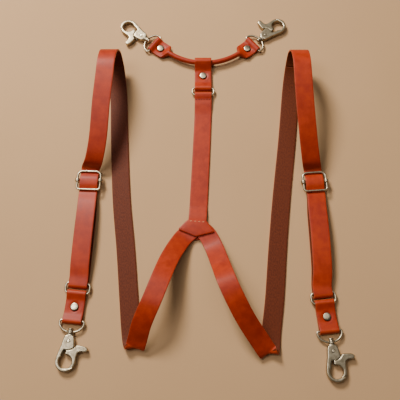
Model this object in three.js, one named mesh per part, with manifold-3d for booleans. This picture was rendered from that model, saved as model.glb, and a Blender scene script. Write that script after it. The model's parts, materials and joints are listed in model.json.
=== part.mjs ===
// Y-back leather suspenders, laid out flat on a table: two shoulder straps sewn into a yoke, one
// centre strap, a rolled leather bridge at the back and a trigger snap on each of the four ends.
// Millimetres, +Z up, +X to the wearer's right-hand strap, +Y from the yoke towards the back snaps.
import * as THREE from 'three';
import { mergeVertices } from 'three/addons/utils/BufferGeometryUtils.js';
import Module from 'manifold-3d';

const wasm = await Module();
wasm.setup();

// ---------- driving dimensions ----------
const STRAP_WIDTH = 20;
const LEATHER = 2;            // thickness of every strap and tab
const PATCH_LEATHER = 2;      // thickness of the two yoke patches
const CLEARANCE = 0.3;        // running and layer clearance
const STRAP_STEP = 10;        // longest facet along a strap

const WIRE = 1.25;            // radius of ring, eye and adjuster wire
const WIRE_SIDES = 8;
const WIRE_PLAY = 1.5;        // strap edge to wire, each side
const RING_WIDTH = STRAP_WIDTH + 2 * WIRE_PLAY + 4 * WIRE; // outside, across the strap
const FRONT_RING_LENGTH = 13.3;
const REAR_RING_LENGTH = 11.5;
const FRONT_TAB_REACH = 28.6; // from ring bar to eye bar
const REAR_TAB_REACH = 33.1;  // from ring bar to the rolled cord

const FRAME_WIDTH = STRAP_WIDTH + 2 * WIRE_PLAY + 4 * WIRE; // adjuster frame, outside
const FRAME_LENGTH = 24.1;
const FRAME_CORNER = 3;       // lower corners of the adjuster frame
const FRAME_SHOULDER = 5.5;   // its softer upper corners
const LUG_RADIUS = 2.7;       // ends of the adjuster's sliding bar
const LUG_LENGTH = 3.6;
const ADJUSTER_TAIL = 9;      // strap end stitched back under itself
const LOOP_SLACK = 2.3;        // the strap hangs loose round the front ring's bar

const EYE_DEPTH = 11.75;      // bar centre to bow centre
const EYE_CORNER = 1.8;
const EYE_BOSS_RADIUS = 3.5;
const STEM_RADIUS = 1.45;
const STEM_HEAD_RADIUS = 2.7;
const STEM_HEAD_LENGTH = 1.7;
const COLLAR_RADIUS = 4;

const HOOK_THICKNESS = 5;
const PIVOT_BELOW_EYE = 7.5;  // eye's outer edge to trigger pin
const PIVOT_TO_JAW = 20.5;
const JAW_INNER = 7;
const JAW_OUTER = 10;
const MATING_RADIUS = 9.5;    // arc about the pin where trigger meets body
const GATE_REACH = 26.7;      // pin to the gate's tip
const SLOT_HEIGHT = 2.2;
const TRIGGER_ROOT = 1.6;     // thickness of the trigger inside the slot
const TRIGGER_THICKNESS = 4.6;
const TRIGGER_TRAVEL = 14;    // degrees
const PIN_RADIUS = 1;
const PIN_HEAD_RADIUS = 2;
const PIN_HEAD = 0.55;

const RIVET_CAP_RADIUS = 4.2;
const RIVET_CAP_HEIGHT = 1.5;
const RIVET_POST_RADIUS = 1.3;
const RIVET_BASE = 0.65;

const CORD_RADIUS = 3;        // rolled bridge, outside
const CORD_WALL = 1.3;
const CORE_PLAY = 0.45;        // cotton core inside the tube
const CORE_RADIUS = CORD_RADIUS - CORD_WALL - CORE_PLAY;
const CORD_ARC_RADIUS = 73.5;
const CORD_LEFT = { arc: 37, reach: 21.3 };  // degrees of arc, then straight to the eye bar
const CORD_RIGHT = { arc: 40, reach: 16.4 };
const CORD_RIVET = 9.4;       // eye bar to rivet
const CORD_TAIL = 14;         // end folded back under, riveted
const CORD_FLARE = 10;        // from flat strip to closed tube
const SEAM_GAP = 0.6;
const CORD_SAG = STRAP_WIDTH ** 2 / (8 * CORD_ARC_RADIUS); // the bridge's bow inside the tab's width
const CORD_PLAY = CORD_SAG + 0.18 * CORD_RADIUS;

// ---------- where the pieces lie ----------
const REAR_RING_AT = [3.7, 135.9];
const YOKE_AT = [-3.6, -33.2];
const YOKE_LEAN = -4.5;       // degrees
const BUTT_X = 1.4;           // where the three strap ends meet inside the yoke
const BUTT_Y = 4;
const LEFT = {
  slider: [-124.3, 20.5], sliderHeading: -2, ring: [-129.1, -99.7], ringHeading: -5.5,
};
const RIGHT = {
  slider: [128.3, 19.1], sliderHeading: 4, ring: [129.6, -109.8], ringHeading: 6,
};

// ---------- fits worked out from the sizes above ----------
const rad = THREE.MathUtils.degToRad;
const FOLD = WIRE + CLEARANCE + LEATHER / 2;          // strap centreline round a wire
const LAYER_1 = LEATHER / 2;                          // strap lying on the table
const LAYER_2 = LAYER_1 + LEATHER + CLEARANCE;
const LAYER_3 = LAYER_2 + LEATHER + CLEARANCE;
const BAR_Z = LAYER_1 + FOLD;                         // wire held in a fold that lies on the table
const FOLD_TOP = BAR_Z + FOLD;
const OVER_FOLD = FOLD_TOP + LEATHER + CLEARANCE;
const FRAME_Z = LAYER_3 + FOLD;                       // adjuster frame above three layers
const CORD_ROUND = CORD_RADIUS - CORD_WALL / 2;         // mid-wall radius of the rolled tube
const FRONT_BAR_Y = FRONT_RING_LENGTH / 2 - WIRE;
const REAR_BAR_Y = REAR_RING_LENGTH / 2 - WIRE;
const FRAME_BAR_Y = FRAME_LENGTH / 2 - WIRE;
const HUMP = FRAME_BAR_Y - 5.44 * WIRE;               // half length of the strap's hump over its bar
const CORD_FOLD = CORD_RADIUS + CORD_PLAY + LEATHER / 2;
const CORD_Z = LAYER_1 + CORD_FOLD;
const EYE_EDGE = EYE_DEPTH + WIRE;                    // eye bar to the eye's outer edge
const BOSS_FACE = EYE_DEPTH - WIRE - 0.6;             // eye bar to the swivel boss
const BOSS_END = EYE_EDGE + CLEARANCE;
const HOOK_TOP = BOSS_END + CLEARANCE;
const HEAD_FACE = BOSS_FACE - CLEARANCE;
const PIVOT_Y = -(EYE_EDGE + PIVOT_BELOW_EYE);

// ---------- materials ----------
function finish(color, roughness, metalness) {
  return () => new THREE.MeshStandardMaterial({ color, roughness, metalness });
}
const grainLeather = finish(0xa83c14, 0.5, 0);
const cordCotton = finish(0xc9b48c, 0.9, 0);
const antiqueBrass = finish(0x8c7446, 0.38, 0.9);
const springSteel = finish(0xa9adb0, 0.3, 1);

const suspenders = new THREE.Group();

function add(parent, name, geometry, material) {
  const mesh = new THREE.Mesh(geometry, material());
  mesh.name = name;
  parent.add(mesh);
  return mesh;
}

// ---------- joining and cutting ----------
function solid(geometry) {
  const bare = geometry.index ? geometry.toNonIndexed() : geometry.clone();
  bare.deleteAttribute('normal');
  bare.deleteAttribute('uv');
  const merged = mergeVertices(bare, 1e-5);
  return new wasm.Manifold(new wasm.Mesh({
    numProp: 3,
    vertProperties: new Float32Array(merged.attributes.position.array),
    triVerts: new Uint32Array(merged.index.array),
  }));
}

function geometryOf(body) {
  const mesh = body.getMesh();
  const geometry = new THREE.BufferGeometry();
  geometry.setAttribute('position', new THREE.BufferAttribute(new Float32Array(mesh.vertProperties), 3));
  geometry.setIndex(Array.from(mesh.triVerts));
  return geometry;
}

// A plan outline with its thickness centred on z.
function plate(points, thickness, z = 0) {
  const shape = new THREE.Shape(points.map(([x, y]) => new THREE.Vector2(x, y)));
  const geometry = new THREE.ExtrudeGeometry(shape, { depth: thickness, bevelEnabled: false });
  return geometry.translate(0, 0, z - thickness / 2);
}

function disc(radius, thickness, x, y, z = 0, sides = 24) {
  const geometry = new THREE.CylinderGeometry(radius, radius, thickness, sides);
  return geometry.rotateX(Math.PI / 2).translate(x, y, z);
}

// A round bar along Y between two places.
function barAlongY(radius, from, to, x = 0, z = 0, sides = 12) {
  const geometry = new THREE.CylinderGeometry(radius, radius, Math.abs(to - from), sides);
  return geometry.translate(x, (from + to) / 2, z);
}

// Skins a row of equal rings of points; an open row gets flat end caps.
function skin(rings, closed) {
  const count = rings[0].length;
  const positions = rings.flat().flatMap((p) => [p.x, p.y, p.z]);
  const index = [];
  const spans = closed ? rings.length : rings.length - 1;
  for (let i = 0; i < spans; i += 1) {
    const a = i * count;
    const b = ((i + 1) % rings.length) * count;
    for (let k = 0; k < count; k += 1) {
      const next = (k + 1) % count;
      index.push(a + k, a + next, b + next, a + k, b + next, b + k);
    }
  }
  const geometry = new THREE.BufferGeometry();
  geometry.setAttribute('position', new THREE.Float32BufferAttribute(positions, 3));
  geometry.setIndex(index);
  return geometry;
}

function capped(rings, faces) {
  const geometry = skin(rings, false);
  const index = Array.from(geometry.index.array);
  const last = (rings.length - 1) * rings[0].length;
  for (const [a, b, c] of faces) {
    index.push(a, c, b);
    index.push(last + a, last + b, last + c);
  }
  geometry.setIndex(index);
  return geometry;
}

// ---------- straps ----------
// A route is a list of stations; side is the compass angle in degrees of the strap's left edge.
function station(x, y, z, side) {
  return { point: new THREE.Vector3(x, y, z), side };
}

// A level place with its own heading; its -Y runs down the strap.
function place([x, y], heading) {
  const turn = rad(heading);
  return {
    at: (along, z) => station(x - along * Math.sin(turn), y + along * Math.cos(turn), z, 180 + heading),
    arc(along, z, radius, from, to, steps) {
      return Array.from({ length: steps + 1 }, (_, i) => {
        const angle = rad(from + (to - from) * i / steps);
        return this.at(along + radius * Math.cos(angle), z + radius * Math.sin(angle));
      });
    },
  };
}

function sampleRoute(route, longest) {
  const curve = new THREE.CatmullRomCurve3(route.map((s) => s.point), false, 'centripetal');
  const out = [];
  for (let i = 0; i < route.length - 1; i += 1) {
    const a = route[i];
    const b = route[i + 1];
    const parts = Math.max(1, Math.ceil(a.point.distanceTo(b.point) / longest));
    for (let k = 0; k < parts; k += 1) {
      const share = k / parts;
      const point = curve.getPoint((i + share) / (route.length - 1));
      point.z = Math.max(point.z, LAYER_1);
      out.push({ point, side: a.side + (b.side - a.side) * share });
    }
  }
  out.push(route[route.length - 1]);
  return out;
}

// Tangent, edge direction and grain-side direction at each sample.
function strapFrames(samples) {
  return samples.map(({ point, side }, i) => {
    const before = samples[Math.max(0, i - 1)].point;
    const after = samples[Math.min(samples.length - 1, i + 1)].point;
    const along = after.clone().sub(before).normalize();
    const edge = new THREE.Vector3(Math.cos(rad(side)), Math.sin(rad(side)), 0);
    edge.addScaledVector(along, -edge.dot(along)).normalize();
    const grain = new THREE.Vector3().crossVectors(edge, along);
    return { point, along, edge, grain };
  });
}

function onTable(point) {
  point.setZ(Math.max(point.z, 0));
  return point;
}

function strap(route, width = STRAP_WIDTH, longest = STRAP_STEP) {
  const corners = [[1, -1], [-1, -1], [-1, 1], [1, 1]];
  const rings = strapFrames(sampleRoute(route, longest)).map(({ point, edge, grain }) => (
    corners.map(([side, face]) => onTable(point.clone()
      .addScaledVector(edge, side * width / 2)
      .addScaledVector(grain, face * LEATHER / 2)))
  ));
  return capped(rings, [[0, 1, 2], [0, 2, 3]]);
}

// ---------- bent wire ----------
// Round wire bent through a closed row of points that lie flat.
function wireLoop(points) {
  const rings = points.map(([x, y], i) => {
    const [ax, ay] = points[(i + points.length - 1) % points.length];
    const [bx, by] = points[(i + 1) % points.length];
    const out = new THREE.Vector3(ay - by, bx - ax, 0).normalize();
    return Array.from({ length: WIRE_SIDES }, (_, k) => {
      const angle = 2 * Math.PI * (k + 0.5) / WIRE_SIDES;
      return new THREE.Vector3(x, y, WIRE * Math.sin(angle))
        .addScaledVector(out, WIRE * Math.cos(angle));
    });
  });
  return skin(rings, true);
}

function arcPoints(x, y, across, along, from, to, steps) {
  return Array.from({ length: steps + 1 }, (_, i) => {
    const angle = rad(from + (to - from) * i / steps);
    return [x + across * Math.cos(angle), y + along * Math.sin(angle)];
  });
}

// A rectangle of wire with round corners, the upper pair softer where a shoulder is given.
function wireRectangle(width, length, corner, shoulder = corner) {
  const x = width / 2 - WIRE;
  const y = length / 2 - WIRE;
  return wireLoop([
    ...arcPoints(x - shoulder, y - shoulder, shoulder, shoulder, 0, 90, 5),
    ...arcPoints(shoulder - x, y - shoulder, shoulder, shoulder, 90, 180, 5),
    ...arcPoints(corner - x, corner - y, corner, corner, 180, 270, 4),
    ...arcPoints(x - corner, corner - y, corner, corner, 270, 360, 4),
  ]);
}

// ---------- rivets ----------
// Double-cap rivet: domed cap above two layers of leather, post with a base let into the lower one.
function rivetHole(x, y) {
  return [
    solid(disc(RIVET_POST_RADIUS + CLEARANCE, 4 * LAYER_3, x, y, LAYER_2, 12)),
    solid(disc(RIVET_CAP_RADIUS + CLEARANCE, RIVET_BASE + 2 * CLEARANCE, x, y,
      (RIVET_BASE + 2 * CLEARANCE) / 2 - CLEARANCE / 2, 16)),
  ];
}

function addRivet(parent, name, x, y) {
  const seat = LAYER_2 + LEATHER / 2 + CLEARANCE;
  const dome = (share) => RIVET_CAP_HEIGHT * Math.sqrt(1 - 0.75 * share * share);
  const cap = new THREE.LatheGeometry([
    new THREE.Vector2(0, RIVET_CAP_HEIGHT / 2),
    new THREE.Vector2(RIVET_POST_RADIUS + CLEARANCE, RIVET_CAP_HEIGHT / 2),
    new THREE.Vector2(RIVET_POST_RADIUS + CLEARANCE, 0),
    new THREE.Vector2(RIVET_CAP_RADIUS, 0),
    ...[1, 0.7].map((share) => new THREE.Vector2(share * RIVET_CAP_RADIUS, dome(share))),
    new THREE.Vector2(0, RIVET_CAP_HEIGHT),
  ], 14);
  add(parent, `${name}_cap`, cap.rotateX(Math.PI / 2).translate(x, y, seat), antiqueBrass);
  const foot = CLEARANCE / 2;
  const post = new THREE.LatheGeometry([
    new THREE.Vector2(0, foot),
    new THREE.Vector2(RIVET_CAP_RADIUS, foot),
    new THREE.Vector2(RIVET_CAP_RADIUS, foot + RIVET_BASE),
    new THREE.Vector2(RIVET_POST_RADIUS, foot + RIVET_BASE),
    new THREE.Vector2(RIVET_POST_RADIUS, seat + RIVET_CAP_HEIGHT / 2 - CLEARANCE),
    new THREE.Vector2(0, seat + RIVET_CAP_HEIGHT / 2 - CLEARANCE),
  ], 14);
  add(parent, `${name}_post`, post.rotateX(Math.PI / 2).translate(x, y, 0), antiqueBrass);
}

function cutRivetHole(geometry, x, y) {
  let body = solid(geometry);
  for (const hole of rivetHole(x, y)) {
    body = body.subtract(hole);
  }
  return geometryOf(body);
}

// ---------- trigger snap ----------
// Drawn with the eye's bar on X and the snap running down -Y; every height is from the bar.
function eyeGeometry() {
  const half = RING_WIDTH / 2 - WIRE;
  const corner = EYE_CORNER;
  const loop = solid(wireLoop([
    ...arcPoints(half - corner, -corner, corner, corner, 0, 90, 3),
    ...arcPoints(corner - half, -corner, corner, corner, 90, 180, 3),
    ...arcPoints(0, -corner, half, EYE_DEPTH - corner, 180, 360, 14).slice(1, -1),
  ]));
  const boss = solid(barAlongY(EYE_BOSS_RADIUS, -BOSS_FACE, -BOSS_END));
  const bore = solid(barAlongY(STEM_RADIUS + CLEARANCE, -BOSS_FACE + 1, -BOSS_END - 1));
  return geometryOf(loop.add(boss).subtract(bore));
}

// Points on an arc about the trigger pin; 0 degrees points down the snap, positive to its left.
function pinPoint(radius, angle) {
  return [radius * Math.sin(rad(angle)), PIVOT_Y - radius * Math.cos(rad(angle))];
}

function pinArc(radius, from, to, steps) {
  return Array.from({ length: steps + 1 }, (_, i) => pinPoint(radius, from + (to - from) * i / steps));
}

function fromPin(points) {
  return points.map(([x, y]) => [x, PIVOT_Y + y]);
}

function hookGeometry() {
  const jawY = PIVOT_Y - PIVOT_TO_JAW;
  const thick = HOOK_THICKNESS;
  const outline = [[-4, 5.2], [-5.2, 3.2], [-5.9, -0.3], [-6.4, -4.8], [-7.9, -9.8], [-9.7, -17],
    [-8, -19.3], [-5, -15.3], [0, -13.1], [6.5, -9.3], [6.4, -4], [5.9, -0.3], [5.2, 3.2], [4, 5.2]];
  const cutter = [
    ...pinArc(MATING_RADIUS - CLEARANCE, 100, -TRIGGER_TRAVEL - 6, 16),
    pinPoint(16, -TRIGGER_TRAVEL - 6),
    [0, PIVOT_Y - 16],
    ...pinArc(GATE_REACH + CLEARANCE, 0, 100, 16),
  ];
  const slot = [
    ...pinArc(MATING_RADIUS + 1, -TRIGGER_TRAVEL - 7, 76, 8),
    [0, PIVOT_Y],
  ];
  return geometryOf(solid(plate(fromPin(outline), thick))
    .add(solid(disc(JAW_OUTER, thick, 0, jawY, 0, 28)))
    .add(solid(barAlongY(COLLAR_RADIUS, -HOOK_TOP, -HOOK_TOP - 2.4, 0, 0, 14)
      .applyMatrix4(new THREE.Matrix4().makeScale(1, 1, thick / 2 / COLLAR_RADIUS))))
    .subtract(solid(disc(JAW_INNER, thick + 1, 0, jawY, 0, 22)))
    .subtract(solid(plate(cutter, thick + 1)))
    .subtract(solid(plate(slot, SLOT_HEIGHT)))
    .subtract(solid(disc(4.8, SLOT_HEIGHT, 0, PIVOT_Y, 0, 12)))
    .subtract(solid(disc(PIN_RADIUS + CLEARANCE, thick + 1, 0, PIVOT_Y, 0, 12)))
    .add(solid(barAlongY(STEM_RADIUS, -HOOK_TOP - 0.5, -HEAD_FACE + 0.5)))
    .add(solid(barAlongY(STEM_HEAD_RADIUS, -HEAD_FACE, -HEAD_FACE + STEM_HEAD_LENGTH))));
}

function triggerGeometry() {
  const jawY = PIVOT_Y - PIVOT_TO_JAW;
  const thick = TRIGGER_THICKNESS;
  const gate = [
    ...pinArc(MATING_RADIUS - 1, 90, -5, 6),
    pinPoint(15, -5),
    [0, PIVOT_Y - PIVOT_TO_JAW],
    ...pinArc(GATE_REACH, 0, 22, 6),
    [JAW_OUTER + 2, jawY],
  ];
  const lever = [[-0.8, -9.2], [4, -8], [8.6, -3.9], [12, -3.6], [18, -4.4], [20.5, -6], [20.7, -8],
    [19, -9.6], [14, -9.3], [11, -10.8], [10.2, -14], [10, -20.5], [6.9, -20.5], [5, -15], [0, -12]]
    .reverse();
  const web = [[-0.4, -3.6], [-0.85, -MATING_RADIUS - 0.7], [5, -MATING_RADIUS], [8.3, -6], [3.6, -2]];
  const root = solid(disc(4.4, TRIGGER_ROOT, 0, PIVOT_Y, 0, 12))
    .add(solid(plate(fromPin(web), TRIGGER_ROOT)))
    .subtract(solid(disc(PIN_RADIUS + CLEARANCE, thick, 0, PIVOT_Y, 0, 12)));
  return geometryOf(solid(disc(JAW_OUTER, thick, 0, jawY, 0, 28))
    .intersect(solid(plate(gate, thick + 1)))
    .add(solid(plate(fromPin(lever), thick)))
    .subtract(solid(disc(JAW_INNER, thick + 1, 0, jawY, 0, 22)))
    .subtract(solid(disc(MATING_RADIUS, thick + 1, 0, PIVOT_Y, 0, 36)))
    .add(root));
}

function pinGeometry() {
  const half = HOOK_THICKNESS / 2 + CLEARANCE;
  const head = [[PIN_RADIUS, half], [PIN_HEAD_RADIUS, half], [PIN_HEAD_RADIUS * 0.7, half + PIN_HEAD]];
  const profile = [
    [0, -half - PIN_HEAD], ...head.map(([r, z]) => [r, -z]).reverse(), ...head, [0, half + PIN_HEAD],
  ];
  const lathe = new THREE.LatheGeometry(profile.map(([r, z]) => new THREE.Vector2(r, z)), 10);
  return lathe.rotateX(Math.PI / 2).translate(0, PIVOT_Y, 0);
}

// A hairpin leaf in the slot, between the body's back wall and the trigger's root.
function springGeometry() {
  const inner = 5.3;
  const outer = MATING_RADIUS - 0.8;
  const back = -TRIGGER_TRAVEL - 5.4;
  const front = -8.4;
  const polar = [[outer, back], [inner, back], [inner, front], [outer, front], [outer, front - 2.4],
    [inner + 0.5, front - 3.6], [inner + 0.5, back + 3.6], [outer, back + 2.4]];
  return plate(polar.map(([radius, angle]) => pinPoint(radius, angle)), TRIGGER_ROOT);
}

function addSnap(parent, name) {
  add(parent, `${name}_eye`, eyeGeometry(), antiqueBrass);
  add(parent, `${name}_hook`, hookGeometry(), antiqueBrass);
  add(parent, `${name}_trigger`, triggerGeometry(), antiqueBrass);
  add(parent, `${name}_trigger_pin`, pinGeometry(), antiqueBrass);
  add(parent, `${name}_trigger_spring`, springGeometry(), springSteel);
}

// ---------- tab folded between two bars ----------
// One strip: butt joint underneath, round the far bar, over the top, round the near bar and back.
function tabRoute(spot, near, far, nearZ, nearFold, middle) {
  return [
    spot.at(middle - 0.6, LAYER_1),
    spot.at((middle + near) / 2, LAYER_1),
    ...spot.arc(near, nearZ, nearFold, -90, 90, 6),
    spot.at(near - nearFold - 2.5 * LEATHER, LAYER_2 + 0.25),
    spot.at(middle, LAYER_2),
    spot.at(far + FOLD + 5, LAYER_2 + 0.25),
    ...spot.arc(far, BAR_Z, FOLD, 90, 270, 6),
    spot.at((middle + far) / 2, LAYER_1),
    spot.at(middle - 0.6 - CLEARANCE, LAYER_1),
  ];
}

// ---------- front ends: adjuster, ring, tab and snap ----------
function addFrontEnd(side, name) {
  const ring = new THREE.Group();
  ring.position.set(side.ring[0], side.ring[1], 0);
  ring.rotation.z = rad(side.ringHeading);
  suspenders.add(ring);
  add(ring, `${name}_ring`, wireRectangle(RING_WIDTH, FRONT_RING_LENGTH, 3.5).translate(0, 0, BAR_Z),
    antiqueBrass);
  const near = -FRONT_BAR_Y;
  const far = near - FRONT_TAB_REACH;
  const middle = (near + far) / 2;
  const route = tabRoute(place([0, 0], 0), near, far, BAR_Z, FOLD, middle);
  add(ring, `${name}_tab`, cutRivetHole(strap(route, STRAP_WIDTH, 8), 0, middle), grainLeather);
  addRivet(ring, `${name}_rivet`, 0, middle);
  const snap = new THREE.Group();
  snap.position.set(0, far, BAR_Z);
  ring.add(snap);
  addSnap(snap, name);

  const slider = new THREE.Group();
  slider.position.set(side.slider[0], side.slider[1], 0);
  slider.rotation.z = rad(side.sliderHeading);
  suspenders.add(slider);
  add(slider, `${name}_adjuster_frame`,
    wireRectangle(FRAME_WIDTH, FRAME_LENGTH, FRAME_CORNER, FRAME_SHOULDER)
      .translate(0, 0, FRAME_Z), antiqueBrass);
  add(slider, `${name}_adjuster_bar`, adjusterBarGeometry(), antiqueBrass);
}

// The sliding bar: a round bar with a lug round each side wire of the frame.
function adjusterBarGeometry() {
  const wireX = FRAME_WIDTH / 2 - WIRE;
  const rise = FRAME_Z - BAR_Z;
  const bar = solid(new THREE.CylinderGeometry(WIRE, WIRE, 2 * wireX, 12)
    .rotateZ(Math.PI / 2).translate(0, 0, BAR_Z));
  const lug = (x) => {
    const shape = new THREE.Shape();
    shape.absarc(0, rise, LUG_RADIUS, rad(-20), rad(200), false);
    shape.absarc(0, 0, WIRE + 0.15, rad(200), rad(340), false);
    const hole = new THREE.Path();
    hole.absarc(0, rise, WIRE + 1.5 * CLEARANCE, 0, 2 * Math.PI, true);
    shape.holes.push(hole);
    const geometry = new THREE.ExtrudeGeometry(shape,
      { depth: LUG_LENGTH, bevelEnabled: false, curveSegments: 7 });
    return solid(geometry.rotateX(Math.PI / 2).translate(x, LUG_LENGTH / 2, BAR_Z));
  };
  return geometryOf(bar.add(lug(wireX)).add(lug(-wireX)));
}

// ---------- shoulder straps ----------
// From the yoke over a low arch to the bottom bend, back along the table, over the top loop, through the
// adjuster, round the ring and back to the adjuster's bar.
const LEFT_RUN = [
  [1.5, -28.4, LAYER_2, 128], [-5.5, -33.5, LAYER_2, 130], [-11, -37.8, LAYER_2, 133],
  [-16.2, -42.4, LAYER_2, 138], [-22.3, -51.1, 7, 146], [-32, -70.7, 17.5, 157],
  [-40.7, -96, 30, 160], [-47.7, -115.3, 32.5, 161], [-54.4, -130, 28, 163],
  [-59.3, -141.2, 21.5, 167], [-63.6, -154.2, 11.5, 171], [-66.5, -160.5, 6.2, 173],
  [-69.1, -155.7, 2.4, 177], [-71.4, -143, LAYER_1, 183], [-74.8, -111.8, LAYER_1, 186],
  [-80.5, -57.7, LAYER_1, 186], [-87.6, -0.3, LAYER_1, 186], [-93.3, 73.4, LAYER_1, 184],
  [-96.3, 122, LAYER_1, 183], [-98.4, 145, 3.4, 182], [-100.9, 165, 12, 181],
  [-103.4, 174.8, 25.5, 180], [-104.8, 168.6, 40, 180], [-105.8, 153, 47.6, 179],
  [-107.3, 131, 46.4, 178], [-110, 102.9, 40.5, 177], [-114, 62, 26, 177], [-119.2, 41, 15, 177],
];
const RIGHT_RUN = [
  [-7.5, -28.6, LAYER_2, 222], [0.6, -34.6, LAYER_2, 220], [7.8, -41, LAYER_2, 216],
  [14.2, -53.7, 5.4, 208], [20.7, -74.6, 18, 200], [27.1, -96.7, 33.5, 198],
  [35.4, -115.4, 33, 202], [44.7, -132.1, 26, 205], [53.4, -144.8, 18.5, 205],
  [61.3, -155.3, 12, 202], [66.8, -162.9, 7.8, 198], [69.8, -165.9, 5.2, 194],
  [71.4, -162.7, 2.8, 188], [72.7, -153.4, 1.3, 180], [74, -143, LAYER_1, 176],
  [78.5, -111.8, LAYER_1, 174], [84.2, -57.7, LAYER_1, 174], [91, -0.3, LAYER_1, 173],
  [101, 73.4, LAYER_1, 173], [106, 116, LAYER_1, 174], [109, 142, 3.4, 177],
  [112, 163.6, 12, 179], [113.8, 174, 25.5, 180], [114.6, 168, 40, 180], [115, 153, 47.6, 180],
  [115.6, 131, 46.4, 181], [117, 105.4, 40.5, 183], [121.2, 61.2, 25.5, 184], [124.6, 40, 14.6, 184],
];

function shoulderRoute(run, side, belly) {
  const slider = place(side.slider, side.sliderHeading);
  const ring = place(side.ring, side.ringHeading);
  const mid = (share, z) => station(
    side.slider[0] + (side.ring[0] - side.slider[0]) * share + belly * Math.sin(Math.PI * share),
    side.slider[1] + (side.ring[1] - side.slider[1]) * share, z,
    180 + side.sliderHeading + (side.ringHeading - side.sliderHeading) * share);
  return [
    ...run.map(([x, y, z, edge]) => station(x, y, z, edge)),
    slider.at(FRAME_BAR_Y + 4, LAYER_3 + 0.5),
    slider.at(FRAME_BAR_Y, LAYER_3 - 0.1),
    slider.at(HUMP, OVER_FOLD - 0.45),
    slider.at(0, OVER_FOLD),
    slider.at(-HUMP, OVER_FOLD - 0.45),
    slider.at(-FRAME_BAR_Y, LAYER_3 - 0.1),
    slider.at(-FRAME_BAR_Y - 4, LAYER_3 + 0.5),
    mid(0.22, 9), mid(0.42, 11.5), mid(0.62, 11.5), mid(0.8, 9),
    ring.at(FRONT_BAR_Y + 6, FOLD_TOP + 0.3),
    ...ring.arc(FRONT_BAR_Y - LOOP_SLACK, BAR_Z, FOLD, 90, 270, 6),
    ring.at(FRONT_BAR_Y + 6, LAYER_1),
    mid(0.75, LAYER_1), mid(0.5, LAYER_1), mid(0.28, LAYER_1),
    slider.at(-FRAME_BAR_Y - 7, LAYER_1 + 0.7),
    slider.at(-FRAME_BAR_Y + 0.6, LAYER_2),
    slider.at(-5, LAYER_2 + 1.1),
    ...slider.arc(0, BAR_Z, FOLD, 110, -90, 7),
    slider.at(-ADJUSTER_TAIL / 2, LAYER_1),
    slider.at(-ADJUSTER_TAIL, LAYER_1),
  ];
}

function addShoulderStrap(run, side, belly, name, inward) {
  const reach = 3 * STRAP_WIDTH;
  const acrossSeam = solid(new THREE.BoxGeometry(reach, reach, 8 * LEATHER)
    .translate(YOKE_AT[0] + BUTT_X + inward * (reach - CLEARANCE) / 2, YOKE_AT[1], LAYER_2));
  const aboveSeam = solid(new THREE.BoxGeometry(2 * reach, reach, 8 * LEATHER)
    .translate(YOKE_AT[0], YOKE_AT[1] + BUTT_Y + reach / 2, LAYER_2));
  const body = solid(strap(shoulderRoute(run, side, belly)));
  add(suspenders, name, geometryOf(body.subtract(acrossSeam).subtract(aboveSeam)), grainLeather);
}

// ---------- yoke and centre strap ----------
function yokePoints(outline) {
  const turn = rad(YOKE_LEAN);
  return outline.map(([x, y]) => [
    YOKE_AT[0] + x * Math.cos(turn) - y * Math.sin(turn),
    YOKE_AT[1] + x * Math.sin(turn) + y * Math.cos(turn),
  ]);
}

function addYoke() {
  const front = [[10.3, 8], [-10.3, 8], [-20.3, -4], [0, -10.8], [20.3, -4]];
  const back = [[9.8, 7], [-9.8, 7], [-17.5, -4.5], [-5, -12.6], [0, -14], [5, -12.6], [17.5, -4.5]];
  const frontZ = LAYER_2 + LEATHER / 2 + CLEARANCE + PATCH_LEATHER / 2;
  add(suspenders, 'yoke_front_patch', plate(yokePoints(front), PATCH_LEATHER, frontZ), grainLeather);
  add(suspenders, 'yoke_back_patch', plate(yokePoints(back), PATCH_LEATHER, PATCH_LEATHER / 2),
    grainLeather);
}

function addCentreStrap() {
  const ring = place([REAR_RING_AT[0], REAR_RING_AT[1]], 0);
  const [x, y] = REAR_RING_AT;
  const route = [
    ring.at(-REAR_BAR_Y - 12, LAYER_1),
    ring.at(-REAR_BAR_Y - 6, LAYER_1),
    ...ring.arc(-REAR_BAR_Y, BAR_Z, FOLD, -90, 90, 6),
    ring.at(-REAR_BAR_Y - 3, FOLD_TOP - 0.9),
    ring.at(-REAR_BAR_Y - 6.5, LAYER_2 + 0.3),
    ring.at(-REAR_BAR_Y - 12, LAYER_2),
    station(x - 0.2, y - 30, LAYER_1, 180),
    station(x - 1.4, y - 60, LAYER_1, 178), station(x - 3, y - 96, LAYER_1, 177),
    station(x - 4.6, y - 128, LAYER_1, 177), station(x - 5.4, y - 144, LAYER_1, 177),
    station(x - 6.1, y - 156, LAYER_2, 177),
    station(x - 6.9, YOKE_AT[1] + BUTT_Y, LAYER_2, 177),
  ];
  const reach = 3 * STRAP_WIDTH;
  const belowSeam = solid(new THREE.BoxGeometry(reach, reach, 3 * LEATHER)
    .translate(YOKE_AT[0], YOKE_AT[1] + BUTT_Y + CLEARANCE - reach / 2, LAYER_2));
  add(suspenders, 'centre_strap', geometryOf(solid(strap(route)).subtract(belowSeam)), grainLeather);
}

// ---------- rear: ring, tab, rolled cord and two snaps ----------
function addRearTab() {
  const ring = new THREE.Group();
  ring.position.set(REAR_RING_AT[0], REAR_RING_AT[1], 0);
  suspenders.add(ring);
  add(ring, 'rear_ring', wireRectangle(RING_WIDTH, REAR_RING_LENGTH, 3.5).translate(0, 0, BAR_Z),
    antiqueBrass);
  const far = REAR_BAR_Y;
  const near = far + REAR_TAB_REACH;
  const middle = (near + far) / 2;
  const route = tabRoute(place([0, 0], 0), near, far, CORD_Z, CORD_FOLD, middle);
  add(ring, 'rear_tab', cutRivetHole(strap(route, STRAP_WIDTH, 8), 0, middle), grainLeather);
  addRivet(ring, 'rear_rivet', 0, middle);
}

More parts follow.
